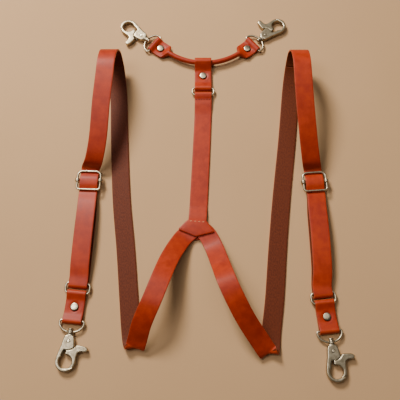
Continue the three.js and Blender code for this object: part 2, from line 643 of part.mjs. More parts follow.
const CORD_CENTRE = [
  REAR_RING_AT[0] + 1.6,
  REAR_RING_AT[1] + REAR_BAR_Y + REAR_TAB_REACH + CORD_ARC_RADIUS,
];

// Distance along the bridge from its middle to the eye bar at one end.
function barDistance(end) {
  return CORD_ARC_RADIUS * rad(end.arc) + end.reach;
}

// The bridge's centreline by distance from its middle: an arc with a straight end each way.
function cordAt(distance) {
  const arc = CORD_ARC_RADIUS * rad(distance < 0 ? CORD_LEFT.arc : CORD_RIGHT.arc);
  const angle = Math.sign(distance) * Math.min(Math.abs(distance), arc) / CORD_ARC_RADIUS;
  const past = Math.sign(distance) * Math.max(0, Math.abs(distance) - arc);
  return {
    x: CORD_CENTRE[0] + CORD_ARC_RADIUS * Math.sin(angle) + past * Math.cos(angle),
    y: CORD_CENTRE[1] - CORD_ARC_RADIUS * Math.cos(angle) + past * Math.sin(angle),
    angle,
  };
}

// Cross-section of the strip: an arc of leather that closes to a tube as roll goes from 0 to 1.
function rolledSection(roll, wall) {
  const across = 8;
  const fullWidth = 2 * Math.PI * CORD_ROUND - SEAM_GAP;
  const width = STRAP_WIDTH + (fullWidth - STRAP_WIDTH) * roll;
  const sweep = Math.max(0.02, roll * fullWidth / CORD_ROUND);
  const radius = width / sweep;
  const point = (share, lift) => {
    const angle = (share - 0.5) * sweep;
    return [(radius + lift) * Math.sin(angle), (radius + lift) * Math.cos(angle) - radius];
  };
  const shares = Array.from({ length: across + 1 }, (_, i) => i / across);
  return [
    ...shares.map((s) => point(s, wall / 2)),
    ...shares.reverse().map((s) => point(s, -wall / 2)),
  ];
}

function smooth(value) {
  const t = THREE.MathUtils.clamp(value, 0, 1);
  return t * t * (3 - 2 * t);
}

// One end of the strip: tail, fold round the eye bar, then the flare up to the tube.
function cordEnd(end, sign) {
  const barAt = barDistance(end);
  const flareFrom = barAt - CORD_TAIL - CLEARANCE;
  const topOfTube = CORD_Z + CORD_ROUND;
  const fold = Array.from({ length: 7 }, (_, i) => {
    const angle = -90 + 30 * i;
    return { s: barAt + FOLD * Math.cos(rad(angle)), z: BAR_Z + FOLD * Math.sin(rad(angle)),
      roll: 0, tilt: 90 - angle };
  });
  const flare = Array.from({ length: 7 }, (_, i) => {
    const share = i / 6;
    return { s: flareFrom - CORD_FLARE * share, roll: smooth(share ** 1.5), tilt: 0,
      z: LAYER_2 + (topOfTube - LAYER_2) * smooth(share * 1.2) };
  });
  return [
    { s: barAt - CORD_TAIL, z: LAYER_1, roll: 0, tilt: 180 },
    { s: barAt - CORD_TAIL / 2, z: LAYER_1, roll: 0, tilt: 180 },
    ...fold,
    { s: barAt - 2.6, z: LAYER_2 + 1.7, roll: 0, tilt: 0 },
    { s: barAt - 5, z: LAYER_2, roll: 0, tilt: 0 },
    ...flare,
  ].map((step) => ({ ...step, s: sign * step.s, tilt: sign * step.tilt }));
}

// One end-to-end walk of the strip, from the right-hand tail to the left-hand one.
function cordStations() {
  const right = cordEnd(CORD_RIGHT, 1);
  const left = cordEnd(CORD_LEFT, -1).reverse();
  const steps = 8;
  const from = right[right.length - 1];
  const length = from.s - left[0].s;
  const tube = Array.from({ length: steps - 1 }, (_, i) => (
    { ...from, s: from.s - length * (i + 1) / steps }));
  return [...right, ...tube, ...left];
}

function cordCoverGeometry() {
  const rings = cordStations().map(({ s, z, roll, tilt }) => {
    const { x, y, angle } = cordAt(s);
    const wall = LEATHER + (CORD_WALL - LEATHER) * roll;
    const outward = new THREE.Vector3(Math.cos(angle), Math.sin(angle), 0);
    const across = new THREE.Vector3(-Math.sin(angle), Math.cos(angle), 0);
    const up = new THREE.Vector3(0, 0, Math.cos(rad(tilt)))
      .addScaledVector(outward, Math.sin(rad(tilt)));
    return rolledSection(roll, wall).map(([side, lift]) => (
      new THREE.Vector3(x, y, z).addScaledVector(across, side).addScaledVector(up, lift)));
  });
  const count = rings[0].length;
  const faces = [];
  for (let k = 0; k < count / 2 - 1; k += 1) {
    faces.push([k, k + 1, count - 2 - k], [k, count - 2 - k, count - 1 - k]);
  }
  return capped(rings, faces);
}

function cordCoreGeometry() {
  const short = CORD_TAIL + CORD_FLARE + 1;
  const from = barDistance(CORD_RIGHT) - short;
  const length = from + barDistance(CORD_LEFT) - short;
  const steps = 14;
  const rings = Array.from({ length: steps + 1 }, (_, i) => {
    const { x, y, angle } = cordAt(from - length * i / steps);
    const across = new THREE.Vector3(-Math.sin(angle), Math.cos(angle), 0);
    return Array.from({ length: 8 }, (__, k) => new THREE.Vector3(x, y, CORD_Z)
      .addScaledVector(across, CORE_RADIUS * Math.cos(k * Math.PI / 4))
      .add(new THREE.Vector3(0, 0, CORE_RADIUS * Math.sin(k * Math.PI / 4))));
  });
  const faces = Array.from({ length: 6 }, (_, k) => [0, k + 1, k + 2]);
  return capped(rings.reverse(), faces);
}

function addRolledCord() {
  let cover = cordCoverGeometry();
  const ends = [['rear_left', CORD_LEFT, -1], ['rear_right', CORD_RIGHT, 1]];
  for (const [name, end, sign] of ends) {
    const barAt = barDistance(end);
    const rivet = cordAt(sign * (barAt - CORD_RIVET));
    cover = cutRivetHole(cover, rivet.x, rivet.y);
    addRivet(suspenders, `${name}_rivet`, rivet.x, rivet.y);
    const bar = cordAt(sign * barAt);
    const snap = new THREE.Group();
    snap.position.set(bar.x, bar.y, BAR_Z);
    snap.rotation.z = bar.angle + sign * Math.PI / 2;
    suspenders.add(snap);
    addSnap(snap, name);
  }
  add(suspenders, 'rolled_cord_cover', cover, grainLeather);
  add(suspenders, 'rolled_cord_core', cordCoreGeometry(), cordCotton);
}

addYoke();
addCentreStrap();
addShoulderStrap(LEFT_RUN, LEFT, 1, 'left_shoulder_strap', 1);
addShoulderStrap(RIGHT_RUN, RIGHT, 0.5, 'right_shoulder_strap', -1);
addFrontEnd(LEFT, 'front_left');
addFrontEnd(RIGHT, 'front_right');
addRearTab();
addRolledCord();

// The origin is the middle of the footprint, on the table.
const box = new THREE.Box3().setFromObject(suspenders, true);
const middle = box.getCenter(new THREE.Vector3());
suspenders.position.set(-middle.x, -middle.y, -box.min.z);
suspenders.updateMatrixWorld(true);

export default suspenders;
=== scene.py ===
import json
import math

import bmesh
import bpy
import numpy as np
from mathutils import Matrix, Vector

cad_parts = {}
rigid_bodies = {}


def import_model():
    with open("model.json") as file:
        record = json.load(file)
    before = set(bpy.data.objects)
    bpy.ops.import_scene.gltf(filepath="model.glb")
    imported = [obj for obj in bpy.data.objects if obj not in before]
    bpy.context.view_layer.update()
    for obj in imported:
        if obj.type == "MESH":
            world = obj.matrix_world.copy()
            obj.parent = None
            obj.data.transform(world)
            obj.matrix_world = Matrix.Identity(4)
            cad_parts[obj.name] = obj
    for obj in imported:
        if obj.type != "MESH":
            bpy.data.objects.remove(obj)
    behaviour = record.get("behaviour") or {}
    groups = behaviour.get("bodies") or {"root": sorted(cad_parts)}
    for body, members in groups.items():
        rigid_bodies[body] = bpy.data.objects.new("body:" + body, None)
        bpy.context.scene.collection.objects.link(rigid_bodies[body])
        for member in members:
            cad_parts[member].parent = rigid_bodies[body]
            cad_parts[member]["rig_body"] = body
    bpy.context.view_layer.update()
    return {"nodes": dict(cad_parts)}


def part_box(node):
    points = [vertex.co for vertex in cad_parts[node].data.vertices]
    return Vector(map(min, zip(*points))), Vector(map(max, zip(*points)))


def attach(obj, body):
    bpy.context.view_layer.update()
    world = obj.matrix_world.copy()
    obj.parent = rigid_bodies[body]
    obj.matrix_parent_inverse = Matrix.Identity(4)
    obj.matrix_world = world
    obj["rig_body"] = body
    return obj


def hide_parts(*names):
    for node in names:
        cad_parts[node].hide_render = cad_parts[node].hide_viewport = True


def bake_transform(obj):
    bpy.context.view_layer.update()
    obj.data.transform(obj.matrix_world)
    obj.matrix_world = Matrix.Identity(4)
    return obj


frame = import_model()

# ---- Shoulder straps ----------------------------------------------------------------------------
# Two strips of 2 mm oiled leather, 20 mm wide, with softened edges. Each runs from the yoke into a
# standing bend at the bottom, back under itself, over a loop at the top, through its adjuster,
# round the ring and back to the adjuster's bar. Lengths here are millimetres on the laid-out sheet.
STRAP_WIDTH = 20.0
LEATHER = 2.0
GAP = 0.3
WIRE = 1.25
FOLD = WIRE + GAP + LEATHER / 2
FIRST = LEATHER / 2
SECOND = FIRST + LEATHER + GAP
THIRD = SECOND + LEATHER + GAP
BAR_Z = FIRST + FOLD
FOLD_TOP = BAR_Z + FOLD
OVER_FOLD = FOLD_TOP + LEATHER + GAP
FRAME_Z = THIRD + FOLD
RING_WIDTH, RING_CORNER = 28.0, 3.5
FRONT_RING_LENGTH, REAR_RING_LENGTH = 13.3, 11.5
FRONT_BAR_Y = FRONT_RING_LENGTH / 2 - WIRE
REAR_BAR_Y = REAR_RING_LENGTH / 2 - WIRE
FRAME_WIDTH, FRAME_LENGTH = 28.0, 24.1
FRAME_CORNER, FRAME_SHOULDER = 3.0, 5.5
FRAME_BAR_Y = FRAME_LENGTH / 2 - WIRE
ADJUSTER_TAIL, LOOP_SLACK = 9.0, 2.3
REAR_RING_AT = (3.7, 135.9)
YOKE_AT, YOKE_LEAN = (-3.6, -33.2), -4.5
BUTT_X, BUTT_Y = 1.4, 4.0
YOKE_REACH = 30.0
TIGHT_BEND = 0.25

ring_low, ring_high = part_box("rear_ring")
SHEET_X = (ring_low.x + ring_high.x) * 500 - REAR_RING_AT[0]
SHEET_Y = (ring_low.y + ring_high.y) * 500 - REAR_RING_AT[1]


def in_metres(points):
    """Millimetres on the laid-out sheet to metres in the frame."""
    return (np.asarray(points, float) + (SHEET_X, SHEET_Y, 0.0)) * 0.001


class Place:
    """A level place on the sheet with its own heading in degrees; its -Y runs down the strap."""

    def __init__(self, x, y, heading=0.0):
        self.x, self.y, self.heading = x, y, heading
        self.cos, self.sin = math.cos(math.radians(heading)), math.sin(math.radians(heading))

    def put(self, points):
        points = np.asarray(points, float)
        x, y, z = points[..., 0], points[..., 1], points[..., 2]
        turned = (self.x + x * self.cos - y * self.sin, self.y + x * self.sin + y * self.cos, z)
        return np.stack(turned, axis=-1)

    def at(self, along, z):
        x, y, _ = self.put((0.0, along, 0.0))
        return (x, y, z, 180.0 + self.heading)

    def arc(self, along, z, radius, start, end, steps):
        turns = np.radians(np.linspace(start, end, steps + 1))
        return [self.at(along + radius * math.cos(t), z + radius * math.sin(t)) for t in turns]


LEFT_SLIDER, LEFT_RING = Place(-124.3, 20.5, -2.0), Place(-129.1, -99.7, -5.5)
RIGHT_SLIDER, RIGHT_RING = Place(128.3, 19.1, 4.0), Place(129.6, -109.8, 6.0)

LEFT_RUN = [
    (1.5, -28.4, SECOND, 128), (-5.5, -33.5, SECOND, 130), (-11, -37.8, SECOND, 133),
    (-16.2, -42.4, SECOND, 138), (-22.3, -51.1, 7, 146), (-32, -70.7, 17.5, 157),
    (-40.7, -96, 30, 160), (-47.7, -115.3, 32.5, 161), (-54.4, -130, 28, 163),
    (-59.3, -141.2, 21.5, 167), (-63.6, -154.2, 11.5, 171), (-66.5, -160.5, 6.2, 173),
    (-69.1, -155.7, 2.4, 177), (-71.4, -143, FIRST, 183), (-74.8, -111.8, FIRST, 186),
    (-80.5, -57.7, FIRST, 186), (-87.6, -0.3, FIRST, 186), (-93.3, 73.4, FIRST, 184),
    (-96.3, 122, FIRST, 183), (-98.4, 145, 3.4, 182), (-100.9, 165, 12, 181),
    (-103.4, 174.8, 25.5, 180), (-104.8, 168.6, 40, 180), (-105.8, 153, 47.6, 179),
    (-107.3, 131, 46.4, 178), (-110, 102.9, 40.5, 177), (-114, 62, 26, 177), (-119.2, 41, 15, 177),
]
RIGHT_RUN = [
    (-7.5, -28.6, SECOND, 222), (0.6, -34.6, SECOND, 220), (7.8, -41, SECOND, 216),
    (14.2, -53.7, 5.4, 208), (20.7, -74.6, 18, 200), (27.1, -96.7, 33.5, 198),
    (35.4, -115.4, 33, 202), (44.7, -132.1, 26, 205), (53.4, -144.8, 18.5, 205),
    (61.3, -155.3, 12, 202), (66.8, -162.9, 7.8, 198), (69.8, -165.9, 5.2, 194),
    (71.4, -162.7, 2.8, 188), (72.7, -153.4, 1.3, 180), (74, -143, FIRST, 176),
    (78.5, -111.8, FIRST, 174), (84.2, -57.7, FIRST, 174), (91, -0.3, FIRST, 173),
    (101, 73.4, FIRST, 173), (106, 116, FIRST, 174), (109, 142, 3.4, 177),
    (112, 163.6, 12, 179), (113.8, 174, 25.5, 180), (114.6, 168, 40, 180), (115, 153, 47.6, 180),
    (115.6, 131, 46.4, 181), (117, 105.4, 40.5, 183), (121.2, 61.2, 25.5, 184),
    (124.6, 40, 14.6, 184),
]


def shoulder_route(run, slider, ring, belly):
    def mid(share, z):
        return (
            slider.x + (ring.x - slider.x) * share + belly * math.sin(math.pi * share),
            slider.y + (ring.y - slider.y) * share,
            z,
            180 + slider.heading + (ring.heading - slider.heading) * share,
        )

    return [
        *run,
        slider.at(FRAME_BAR_Y + 4, THIRD + 0.5),
        slider.at(FRAME_BAR_Y, THIRD - 0.1),
        slider.at(4, OVER_FOLD - 0.45),
        slider.at(0, OVER_FOLD),
        slider.at(-4, OVER_FOLD - 0.45),
        slider.at(-FRAME_BAR_Y, THIRD - 0.1),
        slider.at(-FRAME_BAR_Y - 4, THIRD + 0.5),
        mid(0.22, 9), mid(0.42, 11.5), mid(0.62, 11.5), mid(0.8, 9),
        ring.at(FRONT_BAR_Y + 6, FOLD_TOP + 0.3),
        *ring.arc(FRONT_BAR_Y - LOOP_SLACK, BAR_Z, FOLD, 90, 270, 6),
        ring.at(FRONT_BAR_Y + 6, FIRST),
        mid(0.75, FIRST), mid(0.5, FIRST), mid(0.28, FIRST),
        slider.at(-FRAME_BAR_Y - 7, FIRST + 0.7),
        slider.at(-FRAME_BAR_Y + 0.6, SECOND),
        slider.at(-5, SECOND + 1.1),
        *slider.arc(0, BAR_Z, FOLD, 110, -90, 7),
        slider.at(-ADJUSTER_TAIL / 2, FIRST),
        slider.at(-ADJUSTER_TAIL, FIRST),
    ]


def smooth_line(stations, longest):
    """A centripetal curve through the stations: close points, and each one's place in the row."""
    p = np.array(stations, float)
    p = np.vstack([2 * p[0] - p[1], p, 2 * p[-1] - p[-2]])
    points, places = [], []
    for i in range(len(stations) - 1):
        a, b, c, d = p[i : i + 4]
        t0, t1, t2 = (max(np.linalg.norm(v), 1e-6) ** 0.5 for v in (b - a, c - b, d - c))
        m1 = ((b - a) / t0 - (c - a) / (t0 + t1) + (c - b) / t1) * t1
        m2 = ((c - b) / t1 - (d - b) / (t1 + t2) + (d - c) / t2) * t1
        steps = max(3, math.ceil(np.linalg.norm(c - b) / longest))
        for t in np.arange(steps) / steps:
            bend = (-3 * b + 3 * c - 2 * m1 - m2) * t * t + (2 * b - 2 * c + m1 + m2) * t**3
            points.append(b + m1 * t + bend)
            places.append(i + t)
    return np.array([*points, p[-2]]), np.array([*places, len(stations) - 1.0])


def unit(vectors):
    return vectors / np.linalg.norm(vectors, axis=-1, keepdims=True)


def lay_strip(route, longest=1.5):
    """The strip's middle line, its edge and grain directions, length and bend at each step."""
    line, places = smooth_line([r[:3] for r in route], longest)
    line[:, 2] = np.maximum(line[:, 2], FIRST)
    side = np.interp(places, np.arange(len(route)), [r[3] for r in route])
    padded = np.pad(side, 4, mode="edge")
    side = np.radians(np.convolve(padded, np.ones(9) / 9, mode="valid"))
    before = np.vstack([line[:1], line[:-1]])
    after = np.vstack([line[1:], line[-1:]])
    along = unit(after - before)
    edge = np.stack([np.cos(side), np.sin(side), np.zeros(len(side))], axis=1)
    edge = unit(edge - along * (edge * along).sum(1, keepdims=True))
    grain = np.cross(edge, along)
    step = np.linalg.norm(np.diff(line, axis=0), axis=1)
    run = np.concatenate([[0], np.cumsum(step)])
    turned = np.linalg.norm(np.gradient(along, run, axis=0), axis=1)
    return dict(line=line, edge=edge, grain=grain, run=run, bend=turned, places=places)


def stretch_of(strip, start, end):
    """The part of a laid strip between two stations."""
    keep = (strip["places"] >= start - 1e-6) & (strip["places"] <= end + 1e-6)
    return {key: value[keep] for key, value in strip.items()}


def strip_section(width, thickness, soften=0.5, across=14):
    """Outline of a cut strip as (across, lift): flesh side, one edge, grain side, other edge."""
    half, rise = width / 2 - soften, thickness / 2 - soften
    inner = np.linspace(-half, half, across + 1)[1:-1]

    def corner(x, y, start):
        turns = np.radians(start - np.linspace(0, 90, 4))
        return [(x + soften * math.cos(t), y + soften * math.sin(t)) for t in turns]

    return np.array(
        [(x, -thickness / 2) for x in inner[::-1]]
        + corner(-half, -rise, 270)
        + corner(-half, rise, 180)
        + [(x, thickness / 2) for x in inner]
        + corner(half, rise, 90)
        + corner(half, -rise, 0)
    )


def placed(name, data):
    """A new object in the scene."""
    made = bpy.data.objects.new(name, data)
    bpy.context.scene.collection.objects.link(made)
    return made


def settled(piece):
    """Turns what a piece's modifiers make into its own plain mesh, smoothly shaded."""
    bpy.context.view_layer.update()
    depsgraph = bpy.context.evaluated_depsgraph_get()
    made = bpy.data.meshes.new_from_object(piece.evaluated_get(depsgraph))
    piece.modifiers.clear()
    piece.data = made
    made.materials.clear()
    made.polygons.foreach_set("use_smooth", [True] * len(made.polygons))
    return piece


def skin(name, rings, closed=False):
    """A mesh through equal rings of points, in metres; an open row gets an end face each way."""
    rings = np.asarray(rings, float)
    rows, count = rings.shape[:2]
    faces = []
    for i in range(rows if closed else rows - 1):
        a, b = i * count, (i + 1) % rows * count
        faces += [
            (a + k, a + (k + 1) % count, b + (k + 1) % count, b + k) for k in range(count)
        ]
    if not closed:
        faces.append(tuple(range(count))[::-1])
        faces.append(tuple(range((rows - 1) * count, rows * count)))
    mesh = bpy.data.meshes.new(name)
    mesh.from_pydata(rings.reshape(-1, 3).tolist(), [], faces)
    mesh.polygons.foreach_set("use_smooth", [len(face) == 4 for face in faces])
    return placed(name, mesh)


def write_layer(mesh, key, values):
    layer = mesh.attributes.new(key, "FLOAT", "POINT")
    layer.data.foreach_set("value", np.ravel(values).astype(np.float32))


def note_hide(piece, across, along, side, bend):
    """Writes where points lie on the hide: metres across and along, side 0 grain to 1 flesh."""
    mesh = piece.data
    corners = np.zeros(len(mesh.loops), np.int32)
    mesh.loops.foreach_get("vertex_index", corners)
    flat = np.stack([np.ravel(across), np.ravel(along)], axis=1) * 0.001
    hide = mesh.uv_layers.new(name="hide")
    hide.data.foreach_set("uv", flat[corners].astype(np.float32).ravel())
    write_layer(mesh, "side", side)
    write_layer(mesh, "bend", bend)


def strip_piece(name, strip, press=None):
    """A leather strip along a laid line, with its edges softened and its hide map written."""
    section = strip_section(STRAP_WIDTH, LEATHER)
    a, b = section[:, 0], section[:, 1]
    points = (
        strip["line"][:, None]
        + strip["edge"][:, None] * a[None, :, None]
        + strip["grain"][:, None] * b[None, :, None]
    )
    if press is not None:
        points = press(points, b[None, :] * np.ones(len(points))[:, None])
    points[..., 2] = np.maximum(points[..., 2], 0.0)
    piece = skin(name, in_metres(points))
    ones = np.ones(points.shape[:2])
    note_hide(
        piece,
        a[None] * ones,
        strip["run"][:, None] * ones,
        (0.5 - b / LEATHER)[None] * ones,
        np.clip(strip["bend"] / TIGHT_BEND, 0, 1)[:, None] * ones,
    )
    return piece


def trim(piece, at, away):
    """Cuts off what lies past an upright plane, near the yoke only, and closes the cut."""
    yoke = Vector(in_metres((*YOKE_AT, 0.0)))
    shape = bmesh.new()
    shape.from_mesh(piece.data)
    reach = YOKE_REACH * 0.001
    near = [f for f in shape.faces if (f.calc_center_median() - yoke).length < reach]
    touched = dict.fromkeys(part for f in near for part in (*f.verts, *f.edges))
    cut = bmesh.ops.bisect_plane(
        shape,
        geom=[*touched, *near],
        plane_co=Vector(in_metres((*at, 0.0))),
        plane_no=Vector((*away, 0.0)),
        clear_outer=True,
    )
    rim = [e for e in cut["geom_cut"] if isinstance(e, bmesh.types.BMEdge)]
    bmesh.ops.holes_fill(shape, edges=rim, sides=0)
    shape.to_mesh(piece.data)
    shape.free()


class Shade:
    """A shader value that adds, subtracts and multiplies by making Math nodes."""

    def __init__(self, finish, socket):
        self.finish, self.socket = finish, socket

    def maths(self, operation, *values):
        return self.finish.node("ShaderNodeMath", {"operation": operation}, dict(enumerate(values)))

    def __add__(self, other):
        return self.maths("ADD", self, other)

    __radd__ = __add__

    def __sub__(self, other):
        return self.maths("SUBTRACT", self, other)

    def __rsub__(self, other):
        return self.maths("SUBTRACT", other, self)

    def __mul__(self, other):
        return self.maths("MULTIPLY", self, other)

    def clamp(self):
        return self.finish.node("ShaderNodeClamp", {}, {"Value": self})


class Finish:
    """One material, built from nodes."""

    def __init__(self, name):
        self.material = bpy.data.materials.new(name)
        self.material.use_nodes = True
        self.tree = self.material.node_tree
        self.tree.nodes.clear()

    def node(self, kind, settings, inputs=None, output=0):
        made = self.tree.nodes.new(kind)
        for key, value in settings.items():
            setattr(made, key, value)
        for key, value in (inputs or {}).items():
            socket = made.inputs[key]
            if isinstance(value, Shade):
                self.tree.links.new(value.socket, socket)
            else:
                socket.default_value = value
        return Shade(self, made.outputs[output])

    def place(self):
        """Where a point lies on its piece, in metres."""
        return self.node("ShaderNodeTexCoord", {}, {}, output=3)

    def plies(self, where, scale, distortion):
        """Slanting bands, as in twisted yarn."""
        settings = {"wave_type": "BANDS", "bands_direction": "DIAGONAL"}
        inputs = {"Vector": where, "Scale": scale, "Distortion": distortion}
        return self.node("ShaderNodeTexWave", settings, inputs)

    def noise(self, where, scale, detail=3.0, roughness=0.55):
        inputs = {"Vector": where, "Scale": scale, "Detail": detail, "Roughness": roughness}
        return self.node("ShaderNodeTexNoise", {}, inputs)

    def between(self, value, low, high, to_low=0.0, to_high=1.0):
        """The value's share of the way from low to high, eased, as a number in the new range."""
        inputs = {"Value": value, 1: low, 2: high, 3: to_low, 4: to_high}
        settings = {"interpolation_type": "SMOOTHSTEP"}
        return self.node("ShaderNodeMapRange", settings, inputs)

    def mix(self, share, first, second):
        """A colour between two."""
        inputs = {0: share, 6: first, 7: second}
        settings = {"data_type": "RGBA"}
        return self.node("ShaderNodeMix", settings, inputs, output=2)

    def stretched(self, where, across, along):
        inputs = {0: where, 1: (across, along, 1.0)}
        return self.node("ShaderNodeVectorMath", {"operation": "MULTIPLY"}, inputs)

    def attribute(self, name):
        return self.node("ShaderNodeAttribute", {"attribute_name": name}, {}, output=2)

    def close(self, height=None, depth=0.0, **surface):
        """The shader and its output; height is a bump in shares of depth metres."""
        if height is not None:
            bump = {"Height": height, "Distance": depth, "Strength": 1.0}
            surface["Normal"] = self.node("ShaderNodeBump", {}, bump)
        inputs = {key.replace("_", " "): value for key, value in surface.items()}
        shader = self.node("ShaderNodeBsdfPrincipled", {}, inputs)
        out = self.tree.nodes.new("ShaderNodeOutputMaterial")
        self.tree.links.new(shader.socket, out.inputs["Surface"])
        return self.material


HIDE_BRIGHT = (0.40, 0.030, 0.002, 1)
HIDE_DEEP = (0.27, 0.016, 0.0015, 1)
HIDE_PULLED = (0.48, 0.055, 0.010, 1)
HIDE_EDGE_AND_HIGHLIGHT = (0.46, 0.09, 0.03, 1)
FLESH_DARK = (0.085, 0.014, 0.003, 1)
FLESH_LIGHT = (0.13, 0.024, 0.005, 1)


def tanned_leather(name):
    """Oiled orange-brown grain, browner flesh side, lighter in tight folds; edges burnished, with a
    painted highlight.
    """
    f = Finish(name)
    hide = f.node("ShaderNodeUVMap", {"uv_map": "hide"})
    side, bend = f.attribute("side"), f.attribute("bend")
    cloud = f.noise(hide, 22.0, 4.0, 0.6)
    mottle = f.noise(hide, 130.0, 5.0, 0.62)
    nap = f.noise(f.stretched(hide, 900.0, 420.0), 1.0, 3.0, 0.6)
    cells = f.node(
        "ShaderNodeTexVoronoi", {"feature": "SMOOTH_F1"}, {"Vector": hide, "Scale": 1150.0}
    )
    pores = f.noise(hide, 2600.0, 2.0)
    creases = f.noise(f.stretched(hide, 60.0, 1100.0), 1.0, 2.0)
    tone = f.between(cloud * 0.55 + mottle * 0.45, 0.36, 0.64)
    flesh = f.between(side, 0.8, 0.97)
    edge = f.between(side, 0.06, 0.2) * (1.0 - flesh)
    colour = f.mix(tone, HIDE_DEEP, HIDE_BRIGHT)
    pull = f.between(bend, 0.35, 1.0, 0.0, 0.55) * f.between(creases, 0.3, 0.7, 0.45, 1.0)
    colour = f.mix(pull, colour, HIDE_PULLED)
    # The edges get a lighter colour: real burnish, plus a painted highlight on their rounded faces.
    colour = f.mix(edge * f.between(mottle, 0.3, 0.7, 0.5, 0.9), colour, HIDE_EDGE_AND_HIGHLIGHT)
    colour = f.mix(flesh, colour, f.mix(f.between(nap, 0.35, 0.65), FLESH_DARK, FLESH_LIGHT))
    rough = 0.42 + mottle * 0.14 + flesh * 0.1 - edge * 0.06
    smooth_grain = f.between(cells, 0.0, 0.75, 1.0, 0.0) * 0.5 + pores * 0.35
    height = smooth_grain * (1.0 - flesh) + creases * pull * 1.6 + nap * flesh * 0.35
    return f.close(
        height,
        0.00007,
        Base_Color=colour,
        Roughness=rough,
        Coat_Weight=(1.0 - flesh) * 0.05,
        Coat_Roughness=0.28,
        Specular_IOR_Level=0.24 - flesh * 0.06,
    )


leather = tanned_leather("oiled_leather")


def coat(piece, material):
    piece.data.materials.clear()
    piece.data.materials.append(material)


def finish_piece(piece, material, node=None, body=None):
    """Gives a piece its material and slot, hides the CAD node it stands for, and sets it riding.

    It rides on its node's body unless a body is named; False leaves it riding on nothing.
    """
    coat(piece, material)
    if node:
        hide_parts(node)
    if body is None:
        body = frame["nodes"][node]["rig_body"]
    if body:
        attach(piece, body)
    return piece


for hand, run, slider, ring, belly, inward in (
    ("left", LEFT_RUN, LEFT_SLIDER, LEFT_RING, 1.0, 1),
    ("right", RIGHT_RUN, RIGHT_SLIDER, RIGHT_RING, 0.5, -1),
):
    node, adjuster = f"{hand}_shoulder_strap", f"front_{hand}_adjuster"
    route = shoulder_route(run, slider, ring, belly)
    strip = lay_strip(route)
    crest = max(range(len(run)), key=lambda i: run[i][2])
    inside_loop, top_bar, tail_start = crest - 3, len(run) + 1, len(route) - 13
    run_piece = strip_piece(f"{hand}_strap_run", stretch_of(strip, 0, inside_loop))
    trim(run_piece, (YOKE_AT[0] + BUTT_X - inward * GAP / 2, 0.0), (inward, 0.0))
    trim(run_piece, (0.0, YOKE_AT[1] + BUTT_Y), (0.0, 1.0))
    finish_piece(run_piece, leather, node)
    above, below = slider.at(FRAME_BAR_Y + 6, 0), slider.at(-FRAME_BAR_Y - 9, 0)
    under, sewn = slider.at(-FRAME_BAR_Y - 7, 0), slider.at(-6.5, 0)
    ring_top, end_station = ring.at(FRONT_BAR_Y + 6, 0), len(route) - 1
    for part, first, last, upper, lower, blend_from, blend_to in (
        ("fall", inside_loop, top_bar, "root", adjuster, (*run[crest][:2], 0), above),
        ("loop", top_bar, tail_start, adjuster, f"front_{hand}_ring", below, ring_top),
        ("tail", tail_start, end_station, adjuster, f"{adjuster}_bar", under, sewn),
    ):
        piece = strip_piece(f"{hand}_strap_{part}", stretch_of(strip, first, last))
        finish_piece(piece, leather, node, body=False)
        start, end = in_metres(blend_from[:3]), in_metres(blend_to[:3])
        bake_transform(piece)

# ---- Centre strap -------------------------------------------------------------------------------
# One strip of the same leather from the yoke up to the rear ring, turned round the ring's lower
# bar and sewn to itself with a row of dark red stitches.
rear_place = Place(*REAR_RING_AT)
ring_x, ring_y = REAR_RING_AT
centre_route = [
    rear_place.at(-REAR_BAR_Y - 12, FIRST),
    rear_place.at(-REAR_BAR_Y - 6, FIRST),
    *rear_place.arc(-REAR_BAR_Y, BAR_Z, FOLD, -90, 90, 6),
    rear_place.at(-REAR_BAR_Y - 3, FOLD_TOP - 0.9),
    rear_place.at(-REAR_BAR_Y - 6.5, SECOND + 0.3),
    rear_place.at(-REAR_BAR_Y - 12, SECOND),
    (ring_x - 0.2, ring_y - 30, FIRST, 180),
    (ring_x - 1.4, ring_y - 60, FIRST, 178),
    (ring_x - 3, ring_y - 96, FIRST, 177),
    (ring_x - 4.6, ring_y - 128, FIRST, 177),
    (ring_x - 5.4, ring_y - 144, FIRST, 177),
    (ring_x - 6.1, ring_y - 156, SECOND, 177),
    (ring_x - 6.9, YOKE_AT[1] + BUTT_Y, SECOND, 177),
]
centre_strap = strip_piece("centre_strap_leather", lay_strip(centre_route))
trim(centre_strap, (0.0, YOKE_AT[1] + BUTT_Y + GAP), (0.0, -1.0))
finish_piece(centre_strap, leather, "centre_strap")


